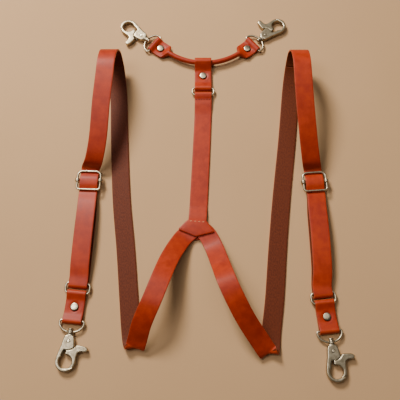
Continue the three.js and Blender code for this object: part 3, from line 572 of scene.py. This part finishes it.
def stitch_tree(name, thread):
    """Stitches along a line of edges: arched lengths of thread, a pitch apart, on a slant."""
    tree = bpy.data.node_groups.new(name, "GeometryNodeTree")
    sockets = {}
    tree.interface.new_socket(name="Line", in_out="INPUT", socket_type="NodeSocketGeometry")
    usual = {"Pitch": 0.0032, "Length": 0.0024, "Thread": 0.00036, "Arch": 0.0005, "Slant": 0.1}
    for label, value in usual.items():
        made = tree.interface.new_socket(name=label, in_out="INPUT", socket_type="NodeSocketFloat")
        made.default_value = value
        sockets[label] = made.identifier
    tree.interface.new_socket(name="Stitches", in_out="OUTPUT", socket_type="NodeSocketGeometry")

    def add(kind, inputs=None, **settings):
        made = tree.nodes.new(kind)
        for key, value in settings.items():
            setattr(made, key, value)
        for key, value in (inputs or {}).items():
            if isinstance(value, bpy.types.NodeSocket):
                tree.links.new(value, made.inputs[key])
            else:
                made.inputs[key].default_value = value
        return made.outputs

    def maths(operation, first, second):
        return add("ShaderNodeMath", {0: first, 1: second}, operation=operation)["Value"]

    given = add("NodeGroupInput")
    curve = add("GeometryNodeMeshToCurve", {"Mesh": given["Line"]})["Curve"]
    resample = {"Curve": curve, "Length": given["Pitch"]}
    marks = add("GeometryNodeResampleCurve", resample, mode="LENGTH")["Curve"]
    tangent = add("GeometryNodeInputTangent")["Tangent"]
    heading = add(
        "FunctionNodeAlignRotationToVector", {"Vector": tangent}, axis="X", pivot_axis="Z"
    )["Rotation"]
    half, back = maths("MULTIPLY", given["Length"], 0.5), maths("MULTIPLY", given["Length"], -0.5)
    sink, rise = maths("MULTIPLY", given["Arch"], -0.9), maths("MULTIPLY", given["Arch"], 1.1)
    start = add("ShaderNodeCombineXYZ", {"X": back, "Z": sink})["Vector"]
    middle = add("ShaderNodeCombineXYZ", {"Z": rise})["Vector"]
    end = add("ShaderNodeCombineXYZ", {"X": half, "Z": sink})["Vector"]
    arch = add(
        "GeometryNodeCurveQuadraticBezier",
        {"Resolution": 8, "Start": start, "Middle": middle, "End": end},
    )["Curve"]
    across = {"Resolution": 8, "Radius": given["Thread"]}
    round_thread = add("GeometryNodeCurvePrimitiveCircle", across)["Curve"]
    sweep = {"Curve": arch, "Profile Curve": round_thread, "Fill Caps": True}
    stitch = add("GeometryNodeCurveToMesh", sweep)["Mesh"]
    size = add(
        "FunctionNodeRandomValue",
        {0: (0.92, 0.95, 0.9), 1: (1.06, 1.08, 1.1), "Seed": 3},
        data_type="FLOAT_VECTOR",
    )[0]
    copies = {"Points": marks, "Instance": stitch, "Rotation": heading, "Scale": size}
    row = add("GeometryNodeInstanceOnPoints", copies)["Instances"]
    wander = add("FunctionNodeRandomValue", {2: -0.1, 3: 0.1, "Seed": 8}, data_type="FLOAT")[1]
    slant = add("ShaderNodeCombineXYZ", {"Z": maths("ADD", given["Slant"], wander)})["Vector"]
    row = add("GeometryNodeRotateInstances", {"Instances": row, "Rotation": slant})["Instances"]
    solid = add("GeometryNodeRealizeInstances", {"Geometry": row})["Geometry"]
    solid = add("GeometryNodeSetMaterial", {"Geometry": solid, "Material": thread})["Geometry"]
    add("NodeGroupOutput", {"Stitches": solid})
    return tree, sockets


def sew(name, lines, tree_and_sockets, thread, body, **sizes):
    """Sews along lines of sheet points and leaves one plain mesh of thread, riding on its body."""
    tree, sockets = tree_and_sockets
    points, edges = [], []
    for line in lines:
        first = len(points)
        points += [tuple(p) for p in in_metres(line)]
        edges += [(first + i, first + i + 1) for i in range(len(line) - 1)]
    mesh = bpy.data.meshes.new(name)
    mesh.from_pydata(points, edges, [])
    guide = placed(name, mesh)
    sewing = guide.modifiers.new("sewing", "NODES")
    sewing.node_group = tree
    for label, value in sizes.items():
        sewing[sockets[label]] = value
    finish_piece(settled(guide), thread, body=body)


def waxed_thread(name, light, dark):
    """Twisted polyester thread, waxed: fine slanting plies with a dull shine."""
    f = Finish(name)
    where = f.place()
    plies = f.plies(where, 900.0, 0.6)
    fuzz = f.noise(where, 4200.0, 2.0)
    colour = f.mix((plies * 0.7 + fuzz * 0.3).clamp(), dark, light)
    return f.close(plies, 0.00006, Base_Color=colour, Roughness=0.5 + fuzz * 0.2)


red_thread = waxed_thread("dark_red_thread", (0.15, 0.012, 0.005, 1), (0.06, 0.004, 0.002, 1))
red_stitch = stitch_tree("dark_red_stitches", red_thread)
end_row_y = -REAR_BAR_Y - 6.6
end_row = rear_place.put([(x, end_row_y, SECOND + 1.25) for x in np.linspace(-7.8, 7.8, 12)])
sew(
    "centre_strap_stitches", [end_row], red_stitch, red_thread, "root",
    Pitch=0.0031, Length=0.0027, Thread=0.00045, Arch=0.0009, Slant=0.5,
)

# ---- Yoke ---------------------------------------------------------------------------------------
# Two leather patches, one over and one under the ends of the three straps, glued and sewn through.
# The upper one is crowned where the straps butt together. It carries a row of stitches at the top,
# drawn in a lighter thread colour as a painted highlight, and fine rust ones down its sides.
FRONT_PATCH = [(10.3, 8), (-10.3, 8), (-20.3, -4), (0, -10.8), (20.3, -4)]
BACK_PATCH = [
    (9.8, 7), (-9.8, 7), (-17.5, -4.5), (-5, -12.6), (0, -14), (5, -12.6), (17.5, -4.5),
]
PATCH_CORNER, PATCH_SOFTENING, PATCH_CROWN, PATCH_SAG = 2.2, 0.55, 0.5, 0.25
YOKE_HIDE, BRIDGE_HIDE = (60.0, 90.0), 40.0
yoke_place = Place(*YOKE_AT, YOKE_LEAN)


def rounded_outline(corners, radius, step=0.8):
    """The outline of a cut patch with its corners rounded, as evenly spaced points."""
    corners = np.array(corners, float)
    outline = []
    for i, corner in enumerate(corners):
        before, after = corners[i - 1], corners[(i + 1) % len(corners)]
        back, ahead = unit(before - corner), unit(after - corner)
        start, end = corner + back * radius, corner + ahead * radius
        t = np.linspace(0, 1, 7)[:, None]
        outline += list((1 - t) ** 2 * start + 2 * t * (1 - t) * corner + t**2 * end)
    outline = np.array(outline)
    lengths = np.linalg.norm(np.roll(outline, -1, axis=0) - outline, axis=1)
    run = np.concatenate([[0], np.cumsum(lengths)])
    wanted = np.linspace(0, run[-1], int(run[-1] / step), endpoint=False)
    closed = np.vstack([outline, outline[:1]])
    return np.stack([np.interp(wanted, run, closed[:, k]) for k in (0, 1)], axis=1)


def patch_piece(name, corners, bottom, top, crown=0.0, sag=0.0):
    """A cut leather patch between two heights, crowned in the middle, pressed down at its rim."""
    outline = rounded_outline(corners, PATCH_CORNER)
    reach = np.linalg.norm(outline, axis=1).mean()
    rise = top - bottom
    turns = np.radians((0, 30, 60, 90))
    insets = [1 - PATCH_SOFTENING * (1 - math.cos(a)) / reach for a in turns]
    lifts = [-rise / 2 + PATCH_SOFTENING * (1 - math.sin(a)) for a in turns]
    inner = np.linspace(insets[-1], 0.02, 14)[1:]
    under = [(s, -rise / 2) for s in inner[::-1]] + list(zip(insets[::-1], lifts[::-1]))
    over = [(s, -z) for s, z in under[::-1]]
    rings, lift = [], []
    for share, height in under + over:
        flat = outline * share
        from_rim = np.clip((1 - share) / 0.35, 0, 1)
        z = (bottom + top) / 2 + height - sag * (1 - from_rim) ** 2
        z += crown * (1 - share * share) * (height > 0)
        rings.append(np.column_stack([flat, np.full(len(flat), z)]))
        lift.append(np.full(len(flat), height))
    rings, lift = np.array(rings)[:, ::-1], np.array(lift)
    piece = skin(name, in_metres(yoke_place.put(rings)))
    across, along = rings[..., 0] + YOKE_HIDE[0], rings[..., 1] + YOKE_HIDE[1]
    note_hide(piece, across, along, 0.5 - lift / rise, np.full(lift.shape, 0.08))
    return piece


front_low, front_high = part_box("yoke_front_patch")
front_heights = (front_low.z * 1000, front_high.z * 1000)
front_patch = patch_piece("yoke_front", FRONT_PATCH, *front_heights, PATCH_CROWN, PATCH_SAG)
finish_piece(front_patch, leather, "yoke_front_patch")
back_patch = patch_piece("yoke_back", BACK_PATCH, 0.0, LEATHER)
finish_piece(back_patch, leather, "yoke_back_patch")

# The top row's lighter thread colour is a painted highlight on the raised stitches; the side rows
# and the seam use the rust thread.
painted_highlight_thread = waxed_thread("painted_highlight_thread", (0.78, 0.42, 0.2, 1), (0.42, 0.15, 0.06, 1))
painted_highlight_stitch = stitch_tree("painted_highlight_stitches", painted_highlight_thread)
rust_thread = waxed_thread("rust_thread", (0.36, 0.045, 0.006, 1), (0.2, 0.02, 0.003, 1))
rust_stitch = stitch_tree("rust_stitches", rust_thread)
PATCH_TOP = front_high.z * 1000 + 0.12
top_row = yoke_place.put([(x, 6.2, PATCH_TOP - 0.05) for x in np.linspace(-6.8, 6.8, 12)])
sew("yoke_top_stitches", [top_row], painted_highlight_stitch, painted_highlight_thread, "root", Pitch=0.0034, Thread=0.0004)
side_rows = [
    yoke_place.put([(sign * x, y, PATCH_TOP - 0.02) for x, y in side])
    for side in (((10.6, 4.6), (17.0, -3.0)), ((16.6, -3.6), (1.6, -8.6)))
    for sign in (-1, 1)
]
sew(
    "yoke_side_stitches", side_rows, rust_stitch, rust_thread, "root",
    Pitch=0.0032, Thread=0.0002, Arch=0.0003,
)

# ---- Wire rings and adjusters -------------------------------------------------------------------
# Rings, adjuster frames and snap eyes are bent from 2.5 mm wire, brazed shut and plated in
# antique brass: dark in the hollows, rubbed bright where straps and fingers touch them.


def arc_points(x, y, across, along, start, end, steps):
    turns = np.radians(np.linspace(start, end, steps + 1))
    return [(x + across * math.cos(t), y + along * math.sin(t)) for t in turns]


def wire_rectangle(width, length, corner, shoulder=None):
    """The line of a wire rectangle with round corners, the upper pair softer if given."""
    x, y = width / 2 - WIRE, length / 2 - WIRE
    upper, line = shoulder or corner, []
    corners = ((1, 1, upper), (-1, 1, upper), (-1, -1, corner), (1, -1, corner))
    for k, (right, up, r) in enumerate(corners):
        line += arc_points(right * (x - r), up * (y - r), r, r, 90 * k, 90 * k + 90, 12)
    return spaced(line)


def spaced(points, longest=1.2):
    """Adds points on the long straights of a closed line."""
    out = []
    for a, b in zip(points, points[1:] + points[:1]):
        count = max(1, math.ceil(math.dist(a, b) / longest))
        if math.dist(a, b) > 1e-6:
            out += [tuple(np.array(a) + (np.array(b) - a) * k / count) for k in range(count)]
    return out


def wire_rings(points, z, sides=20):
    """Rings of points round a closed line of wire."""
    line = np.array(points, float)
    ahead, behind = np.roll(line, -1, axis=0), np.roll(line, 1, axis=0)
    out = unit(np.stack([behind[:, 1] - ahead[:, 1], ahead[:, 0] - behind[:, 0]], axis=1))
    turns = 2 * np.pi * (np.arange(sides) + 0.5) / sides
    spread = line[:, None] + out[:, None] * (WIRE * np.cos(turns))[None, :, None]
    heights = np.broadcast_to(z + WIRE * np.sin(turns), spread.shape[:2])
    return np.dstack([spread, heights])


WEAR_LEVEL = 1200.0
CASTING_GRID = 0.00022


def note_wear(piece):
    """Writes how proud or hollow each point is, from its neighbours, for the plating's wear."""
    mesh = piece.data
    points, normals = np.zeros((2, len(mesh.vertices) * 3))
    mesh.vertices.foreach_get("co", points)
    mesh.vertices.foreach_get("normal", normals)
    points, normals = points.reshape(-1, 3), normals.reshape(-1, 3)
    pairs = np.zeros(len(mesh.edges) * 2, np.int32)
    mesh.edges.foreach_get("vertices", pairs)
    a, b = pairs.reshape(-1, 2).T
    count = np.bincount(np.concatenate([a, b]), minlength=len(points)).clip(1)
    level = np.zeros(len(points))
    reach = points[b] - points[a]
    span = np.linalg.norm(reach, axis=1) ** 2 + 1e-12
    np.add.at(level, a, -(reach * normals[a]).sum(1) / span)
    np.add.at(level, b, (reach * normals[b]).sum(1) / span)
    level /= count
    for _ in range(6):
        spread = np.zeros(len(points))
        np.add.at(spread, a, level[b])
        np.add.at(spread, b, level[a])
        level = 0.5 * level + 0.5 * spread / count
    write_layer(mesh, "proud", np.clip(level / WEAR_LEVEL, -1, 1))


def antique_plate(name, bright, dark, tint, base_wear):
    """Antique brass plating: rubbed bright on proud edges, toned dark in hollows and in clouds."""
    f = Finish(name)
    where = f.place()
    proud = f.attribute("proud")
    cloud = f.noise(where, 260.0, 4.0, 0.6)
    specks = f.noise(where, 2200.0, 3.0, 0.6)
    scratches = f.noise(f.stretched(where, 500.0, 4200.0), 1.0, 2.0)
    wear = (base_wear + proud * 1.5 + (cloud - 0.5) * 0.8 + (specks - 0.5) * 0.3).clamp()
    colour = f.mix(wear, dark, f.mix(cloud, tint, bright))
    rough = 0.46 - wear * 0.2 + (scratches - 0.5) * 0.1
    height, metal = specks * 0.5 + scratches * 0.3, 0.75 + wear * 0.25
    return f.close(height, 0.000012, Base_Color=colour, Roughness=rough, Metallic=metal)


brass = antique_plate(
    "antique_brass", (0.78, 0.68, 0.50, 1), (0.05, 0.034, 0.015, 1), (0.45, 0.36, 0.21, 1), 0.48
)


def wire_piece(name, place, line, z, node):
    piece = skin(name, in_metres(place.put(wire_rings(line, z))), closed=True)
    note_wear(piece)
    finish_piece(piece, brass, node)


def cast_from(name, node, passes, fill=0.0, grid=CASTING_GRID, also=()):
    """A casting with rounded edges: the solid skinned anew, tumbled and filled out by metres."""
    shape = bmesh.new()
    for source in (frame["nodes"][node].data, *also):
        shape.from_mesh(source)
    bmesh.ops.remove_doubles(shape, verts=shape.verts[:], dist=1e-6)
    mesh = bpy.data.meshes.new(name)
    shape.to_mesh(mesh)
    shape.free()
    piece = placed(name, mesh)
    skinning = piece.modifiers.new("skinning", "REMESH")
    skinning.mode, skinning.voxel_size = "VOXEL", grid
    tumbling = piece.modifiers.new("tumbling", "SMOOTH")
    tumbling.factor, tumbling.iterations = 0.5, passes
    filling = piece.modifiers.new("filling", "DISPLACE")
    filling.mid_level, filling.strength = 0.0, fill
    note_wear(settled(piece))
    finish_piece(piece, brass, node)


rear_line = wire_rectangle(RING_WIDTH, REAR_RING_LENGTH, RING_CORNER)
wire_piece("rear_ring_wire", rear_place, rear_line, BAR_Z, "rear_ring")
for hand, slider, ring in (("left", LEFT_SLIDER, LEFT_RING), ("right", RIGHT_SLIDER, RIGHT_RING)):
    end = f"front_{hand}"
    line = wire_rectangle(RING_WIDTH, FRONT_RING_LENGTH, RING_CORNER)
    wire_piece(f"{end}_ring_wire", ring, line, BAR_Z, f"{end}_ring")
    line = wire_rectangle(FRAME_WIDTH, FRAME_LENGTH, FRAME_CORNER, FRAME_SHOULDER)
    wire_piece(f"{end}_adjuster_wire", slider, line, FRAME_Z, f"{end}_adjuster_frame")
    cast_from(f"{end}_sliding_bar", f"{end}_adjuster_bar", passes=22, fill=0.00006)
    tail = slider.put([(x, -6.0, 0.12) for x in np.linspace(-7.6, 7.6, 8)])
    sew(
        f"{end}_tail_stitches", [tail], red_stitch, red_thread, f"{end}_adjuster_bar",
        Thread=0.0002, Arch=0.00012,
    )

# ---- Tabs and rivets ----------------------------------------------------------------------------
# Each tab is one short strip folded round two bars with its ends butted underneath, closed by a
# double-cap rivet. The rivet's cap is pressed down into the upper layer of leather.
CAP_RADIUS, CAP_HEIGHT, POST_RADIUS, RIVET_BASE = 4.2, 1.5, 1.3, 0.65
CAP_SEAT = SECOND + LEATHER / 2 + GAP
CAP_SINK = 0.35
DENT_RIM, DENT_DEPTH, DENT_SQUEEZE = 2.2, 0.2, 0.38
REAR_TAB_REACH, FRONT_TAB_REACH = 33.1, 28.6
CORD_RADIUS, CORD_WALL, CORD_PLAY = 3.0, 1.3, 1.22
CORD_FOLD = CORD_RADIUS + CORD_PLAY + LEATHER / 2
CORD_Z = FIRST + CORD_FOLD


def tab_route(place, near, far, near_z, near_fold, middle):
    return [
        place.at(middle - 0.6, FIRST),
        place.at((middle + near) / 2, FIRST),
        *place.arc(near, near_z, near_fold, -90, 90, 6),
        place.at(near - near_fold - 5, SECOND + 0.25),
        place.at(middle, SECOND),
        place.at(far + FOLD + 5, SECOND + 0.25),
        *place.arc(far, BAR_Z, FOLD, 90, 270, 6),
        place.at((middle + far) / 2, FIRST),
        place.at(middle - 0.6 - GAP, FIRST),
    ]


def pressed_round(x, y):
    """The dent that a rivet's cap leaves in the upper layer of leather."""

    def press(points, lift):
        away = np.hypot(points[..., 0] - x, points[..., 1] - y)
        dent = np.clip(1 - np.clip(away - CAP_RADIUS, 0, None) / DENT_RIM, 0, 1)
        dent = dent * dent * (3 - 2 * dent) * np.where(points[..., 2] > SECOND - 0.2, 1.0, 0.0)
        points[..., 2] -= dent * (DENT_DEPTH + DENT_SQUEEZE * (lift > 0))
        return points

    return press


def turned_piece(name, profile, x, y, node, sides=48):
    """A turned metal piece from (radius, height, how proud) points, upright at a place."""
    turns = np.linspace(0, 2 * np.pi, sides, endpoint=False)
    rings = [
        [(x + r * math.cos(t), y + r * math.sin(t), z) for t in turns] for r, z, _ in profile
    ]
    piece = skin(name, in_metres(rings))
    write_layer(piece.data, "proud", np.repeat([p[2] for p in profile], sides))
    finish_piece(piece, brass, node)


def rivet(name, x, y):
    seat = CAP_SEAT - CAP_SINK
    turns = np.radians(np.linspace(86, 1, 16))
    dome = [
        (
            CAP_RADIUS * math.sin(a) ** 0.8,
            seat + 0.4 + (CAP_HEIGHT - 0.4) * math.cos(a) ** 0.55,
            0.45 - 1.1 * math.sin(a) ** 6,
        )
        for a in turns
    ]
    rim = [
        (POST_RADIUS, seat + 0.1, -0.8), (CAP_RADIUS - 0.35, seat, -0.8),
        (CAP_RADIUS - 0.1, seat + 0.05, -0.7), (CAP_RADIUS, seat + 0.22, -0.6),
    ]
    turned_piece(f"{name}_dome", rim + dome, x, y, f"{name}_cap")
    foot = [
        (0.05, 0.0, 0.1), (CAP_RADIUS - 0.5, 0.02, 0.1), (CAP_RADIUS - 0.12, 0.12, 0.2),
        (CAP_RADIUS, 0.35, -0.2), (CAP_RADIUS - 0.12, 0.55, -0.4),
        (CAP_RADIUS - 0.4, RIVET_BASE, -0.4), (POST_RADIUS + 0.1, RIVET_BASE, -0.4),
        (POST_RADIUS, RIVET_BASE + 0.2, -0.4), (POST_RADIUS, seat + 0.4, -0.4),
        (0.05, seat + 0.42, -0.4),
    ]
    turned_piece(f"{name}_shank", foot, x, y, f"{name}_post")


def tab_piece(name, place, near, far, near_z, near_fold, rivet_name):
    middle = (near + far) / 2
    route = tab_route(place, near, far, near_z, near_fold, middle)
    x, y, _ = place.put((0.0, middle, 0.0))
    piece = strip_piece(f"{name}_leather", lay_strip(route, 0.9), press=pressed_round(x, y))
    finish_piece(piece, leather, name)
    rivet(rivet_name, x, y)


BRIDGE_Y = REAR_BAR_Y + REAR_TAB_REACH
FRONT_EYE_Y = -FRONT_BAR_Y - FRONT_TAB_REACH
tab_piece("rear_tab", rear_place, BRIDGE_Y, REAR_BAR_Y, CORD_Z, CORD_FOLD, "rear_rivet")
FRONT_RINGS = {"front_left": LEFT_RING, "front_right": RIGHT_RING}
for end, ring in FRONT_RINGS.items():
    tab_piece(f"{end}_tab", ring, -FRONT_BAR_Y, FRONT_EYE_Y, BAR_Z, FOLD, f"{end}_rivet")

# ---- Rolled rear bridge -------------------------------------------------------------------------
# One strip, flat at both ends and rolled into a 6 mm tube round a cotton core between them, seam
# underneath. Each flat end turns round a snap's eye and is riveted to itself.
SEAM_GAP, CORD_SHIFT = 0.6, 1.6
CORD_ARC_RADIUS, CORD_TAIL, CORD_FLARE, CORD_RIVET = 73.5, 14.0, 10.0, 9.4
CORD_ROUND = CORD_RADIUS - CORD_WALL / 2
CORD_CENTRE = (ring_x + CORD_SHIFT, ring_y + BRIDGE_Y + CORD_ARC_RADIUS)
# Each end's degrees of arc, straight length past it and side.
CORD_ENDS = {"rear_left": (37.0, 21.3, -1), "rear_right": (40.0, 16.4, 1)}


def bar_distance(end):
    degrees, reach, _ = CORD_ENDS[end]
    return CORD_ARC_RADIUS * math.radians(degrees) + reach


def cord_at(distance):
    """A place on the bridge's middle line by distance from its middle: x, y and heading."""
    sign = -1 if distance < 0 else 1
    degrees = CORD_ENDS["rear_left" if distance < 0 else "rear_right"][0]
    arc = CORD_ARC_RADIUS * math.radians(degrees)
    angle = sign * min(abs(distance), arc) / CORD_ARC_RADIUS
    past = sign * max(0.0, abs(distance) - arc)
    x = CORD_CENTRE[0] + CORD_ARC_RADIUS * math.sin(angle) + past * math.cos(angle)
    y = CORD_CENTRE[1] - CORD_ARC_RADIUS * math.cos(angle) + past * math.sin(angle)
    return x, y, angle


def ease(value):
    t = min(max(value, 0.0), 1.0)
    return t * t * (3 - 2 * t)


def cord_end(end):
    """The strip's end as (s, z, roll, tilt): tail, fold round the eye, flare into the tube."""
    sign = CORD_ENDS[end][2]
    bar = bar_distance(end)
    top = CORD_Z + CORD_ROUND
    steps = [(bar - CORD_TAIL, FIRST, 0.0, 180.0), (bar - CORD_TAIL / 2, FIRST, 0.0, 180.0)]
    for angle in range(-90, 91, 30):
        out, up = FOLD * math.cos(math.radians(angle)), FOLD * math.sin(math.radians(angle))
        steps.append((bar + out, BAR_Z + up, 0.0, 90.0 - angle))
    steps += [(bar - 2.6, SECOND + 1.7, 0.0, 0.0), (bar - 5.0, SECOND, 0.0, 0.0)]
    for k in range(13):
        share = k / 12
        lift = SECOND + (top - SECOND) * ease(share * 1.2)
        steps.append((bar - CORD_TAIL - GAP - CORD_FLARE * share, lift, ease(share**1.5), 0.0))
    return [(sign * s, z, roll, sign * tilt) for s, z, roll, tilt in steps]


def rolled_section(roll, wall):
    """The strip's cross-section as it closes from flat to a tube: (side, lift) and hide width."""
    full = 2 * math.pi * CORD_ROUND - SEAM_GAP
    width = STRAP_WIDTH + (full - STRAP_WIDTH) * roll
    sweep = max(0.02, roll * full / CORD_ROUND)
    radius = width / sweep
    flat = strip_section(width, wall, soften=0.45 * wall / LEATHER, across=34)
    angle = flat[:, 0] / width * sweep
    reach = radius + flat[:, 1]
    return np.stack([-reach * np.sin(angle), reach * np.cos(angle) - radius], axis=1), flat


right_steps, left_steps = cord_end("rear_right"), cord_end("rear_left")[::-1]
tube_from, tube_to = right_steps[-1], left_steps[0]
tube_steps = [
    (tube_from[0] + (tube_to[0] - tube_from[0]) * k / 14, tube_from[1], 1.0, 0.0)
    for k in range(1, 14)
]
cord_steps = [*right_steps, *tube_steps, *left_steps]
cord_line, cord_places = smooth_line([(s, z) for s, z, _, _ in cord_steps], 1.0)
cord_roll, cord_tilt = (
    np.interp(cord_places, np.arange(len(cord_steps)), [c[k] for c in cord_steps]) for k in (2, 3)
)
cord_run = np.concatenate([[0], np.cumsum(np.linalg.norm(np.diff(cord_line, axis=0), axis=1))])

rings, hide_across, hide_side = [], [], []
for (s, z), roll, tilt in zip(cord_line, cord_roll, cord_tilt):
    x, y, angle = cord_at(s)
    wall = LEATHER + (CORD_WALL - LEATHER) * roll
    outline, flat = rolled_section(roll, wall)
    outward = np.array([math.cos(angle), math.sin(angle), 0.0])
    across = np.array([math.sin(angle), -math.cos(angle), 0.0])
    tilt = math.radians(tilt)
    up = np.array([0.0, 0.0, math.cos(tilt)]) + outward * math.sin(tilt)
    ring = np.array([x, y, max(z, FIRST)]) + outline[:, :1] * across + outline[:, 1:] * up
    ring[:, 2] = np.maximum(ring[:, 2], 0.0)
    rings.append(ring)
    hide_across.append(flat[:, 0])
    hide_side.append(0.5 - flat[:, 1] / wall)
rings = np.array(rings)
for end, (_, _, sign) in CORD_ENDS.items():
    x, y, _ = cord_at(sign * (bar_distance(end) - CORD_RIVET))
    rings = pressed_round(x, y)(rings, 0.5 - np.array(hide_side))
    rivet(f"{end}_rivet", x, y)
cord_cover = skin("rolled_bridge", in_metres(rings))
note_hide(
    cord_cover,
    np.array(hide_across) + BRIDGE_HIDE,
    np.broadcast_to(cord_run[:, None], rings.shape[:2]),
    np.array(hide_side),
    np.full(rings.shape[:2], 0.25),
)
finish_piece(cord_cover, leather, "rolled_cord_cover")


def twisted_cotton(name):
    """Natural cotton cord with slanting strands."""
    f = Finish(name)
    where = f.place()
    strands = f.plies(where, 260.0, 1.0)
    fuzz = f.noise(where, 3000.0)
    colour = f.mix(strands, (0.38, 0.3, 0.19, 1), (0.72, 0.64, 0.48, 1))
    height = strands * 0.8 + fuzz * 0.2
    return f.close(height, 0.0003, Base_Color=colour, Roughness=0.8 + fuzz * 0.1)


coat(frame["nodes"]["rolled_cord_core"], twisted_cotton("cotton_core"))

seam_steps = np.linspace(tube_from[0] - 2.0, tube_to[0] + 2.0, 70)
seam = [(*cord_at(s)[:2], CORD_Z - CORD_RADIUS - 0.05) for s in seam_steps]
sew(
    "bridge_seam_stitches", [seam], rust_stitch, rust_thread, "rolled_cord",
    Pitch=0.0036, Length=0.0026, Thread=0.0003, Arch=0.0002,
)

# ---- Trigger snaps ------------------------------------------------------------------------------
# Four cast zinc snaps: a wire eye with a swivel boss, a hook body with its jaw, a trigger that
# closes the jaw with a finger lever, a pin with headed ends and a hairpin spring in the slot.
EYE_WIDTH, EYE_DEPTH, EYE_CORNER = 28.0, 11.75, 1.8
PIN_HEAD_RADIUS, HOOK_THICKNESS = 2.0, 5.0
PIVOT_BELOW_EYE = 7.5
PIVOT_Y = -(EYE_DEPTH + WIRE + PIVOT_BELOW_EYE)


def eye_line():
    half = EYE_WIDTH / 2 - WIRE
    line = arc_points(half - EYE_CORNER, -EYE_CORNER, EYE_CORNER, EYE_CORNER, 0, 90, 8)
    line += arc_points(EYE_CORNER - half, -EYE_CORNER, EYE_CORNER, EYE_CORNER, 90, 180, 8)
    bow = arc_points(0, -EYE_CORNER, half, EYE_DEPTH - EYE_CORNER, 180, 360, 60)
    return spaced(line + bow[1:-1])


def spring_steel(name):
    """Plain drawn spring leaf, lightly blued."""
    f = Finish(name)
    where = f.place()
    drawn = f.noise(f.stretched(where, 300.0, 6000.0), 1.0)
    colour = f.mix(drawn, (0.3, 0.31, 0.33, 1), (0.6, 0.6, 0.62, 1))
    return f.close(drawn, 0.00001, Base_Color=colour, Roughness=0.25 + drawn * 0.15, Metallic=1.0)


blued_spring = spring_steel("spring_leaf")
snap_places = {}
for end, ring in FRONT_RINGS.items():
    x, y, _ = ring.put((0.0, FRONT_EYE_Y, 0.0))
    snap_places[end] = Place(x, y, ring.heading)
for end, (_, _, sign) in CORD_ENDS.items():
    x, y, angle = cord_at(sign * bar_distance(end))
    snap_places[end] = Place(x, y, math.degrees(angle) + sign * 90)

for end, place in snap_places.items():
    bow = skin(f"{end}_bow", in_metres(place.put(wire_rings(eye_line(), BAR_Z))), closed=True)
    note_wear(bow)
    cast_from(f"{end}_eye_and_boss", f"{end}_eye", passes=6, grid=0.0002, also=(bow.data,))
    bpy.data.objects.remove(bow)
    cast_from(f"{end}_hook_body", f"{end}_hook", passes=70, fill=0.00026)
    cast_from(f"{end}_trigger_lever", f"{end}_trigger", passes=60, fill=0.00024)
    x, y, _ = place.put((0.0, PIVOT_Y, 0.0))
    face = BAR_Z + HOOK_THICKNESS / 2
    upper = [
        (1.0, face - 0.4, -0.6), (PIN_HEAD_RADIUS - 0.1, face + 0.02, -0.9),
        (PIN_HEAD_RADIUS, face + 0.15, -0.9), (PIN_HEAD_RADIUS - 0.12, face + 0.4, -0.6),
        (1.35, face + 0.6, 0.2), (0.95, face + 0.65, 0.5),
        (0.5, face + 0.6, 0.4), (0.04, face + 0.58, 0.3),
    ]
    lower = [(r, 2 * BAR_Z - z, proud) for r, z, proud in upper[::-1]]
    turned_piece(f"{end}_pin", lower + upper, x, y, f"{end}_trigger_pin", sides=36)
    coat(frame["nodes"][f"{end}_trigger_spring"], blued_spring)

# ---- Table, light and camera --------------------------------------------------------------------
# A plain pale table top, a broad soft light like a window's from the far left, a weaker lamp on the
# left, a faint ceiling light, and a camera above the near edge of the table.
CAMERA_HEIGHT, CAMERA_BACK, CAMERA_ANGLE = 0.5881, 0.2025, 71.0


def pale_table(name):
    f = Finish(name)
    where = f.place()
    cloud = f.noise(where, 6.0, 3.0)
    fine = f.noise(where, 900.0, 2.0)
    colour = f.mix(cloud * 0.7 + fine * 0.3, (0.49, 0.29, 0.135, 1), (0.57, 0.345, 0.17, 1))
    return f.close(fine, 0.00002, Base_Color=colour, Roughness=0.8 + fine * 0.1)


top = bpy.data.meshes.new("table")
top.from_pydata([(-2, -2, 0), (2, -2, 0), (2, 2, 0), (-2, 2, 0)], [], [(0, 1, 2, 3)])
top.materials.append(pale_table("table_top"))
table = placed("table", top)
table.location.z = -0.0002

aim = Vector(in_metres((0.0, 0.0, 0.0)))


def soft_light(name, at, size, power, colour):
    data = bpy.data.lights.new(name, "AREA")
    data.shape, data.size, data.energy, data.color = "DISK", size, power, colour
    lamp = placed(name, data)
    lamp.location = aim + Vector(at)
    lamp.rotation_euler = (-Vector(at)).to_track_quat("-Z", "Y").to_euler()


soft_light("window", (-0.55, 0.9, 1.0), 0.45, 29.0, (1.0, 0.95, 0.87))
soft_light("lamp", (-0.6, 0.05, 1.2), 0.6, 6.0, (1.0, 0.96, 0.94))
soft_light("ceiling", (0.1, 0.35, 1.5), 1.3, 4.5, (1.0, 0.96, 0.92))
world = bpy.data.worlds.new("room")
world.use_nodes = True
glow = world.node_tree.nodes["Background"].inputs
glow["Color"].default_value, glow["Strength"].default_value = (1.0, 0.95, 0.88, 1), 0.05
bpy.context.scene.world = world

camera = placed("camera", bpy.data.cameras.new("camera"))
camera.data.lens, camera.data.sensor_width = 49.95, 36.0
camera.location = aim + Vector((0.0, -CAMERA_BACK, CAMERA_HEIGHT))
camera.rotation_euler = (math.radians(90 - CAMERA_ANGLE), 0.0, 0.0)
bpy.context.scene.camera = camera
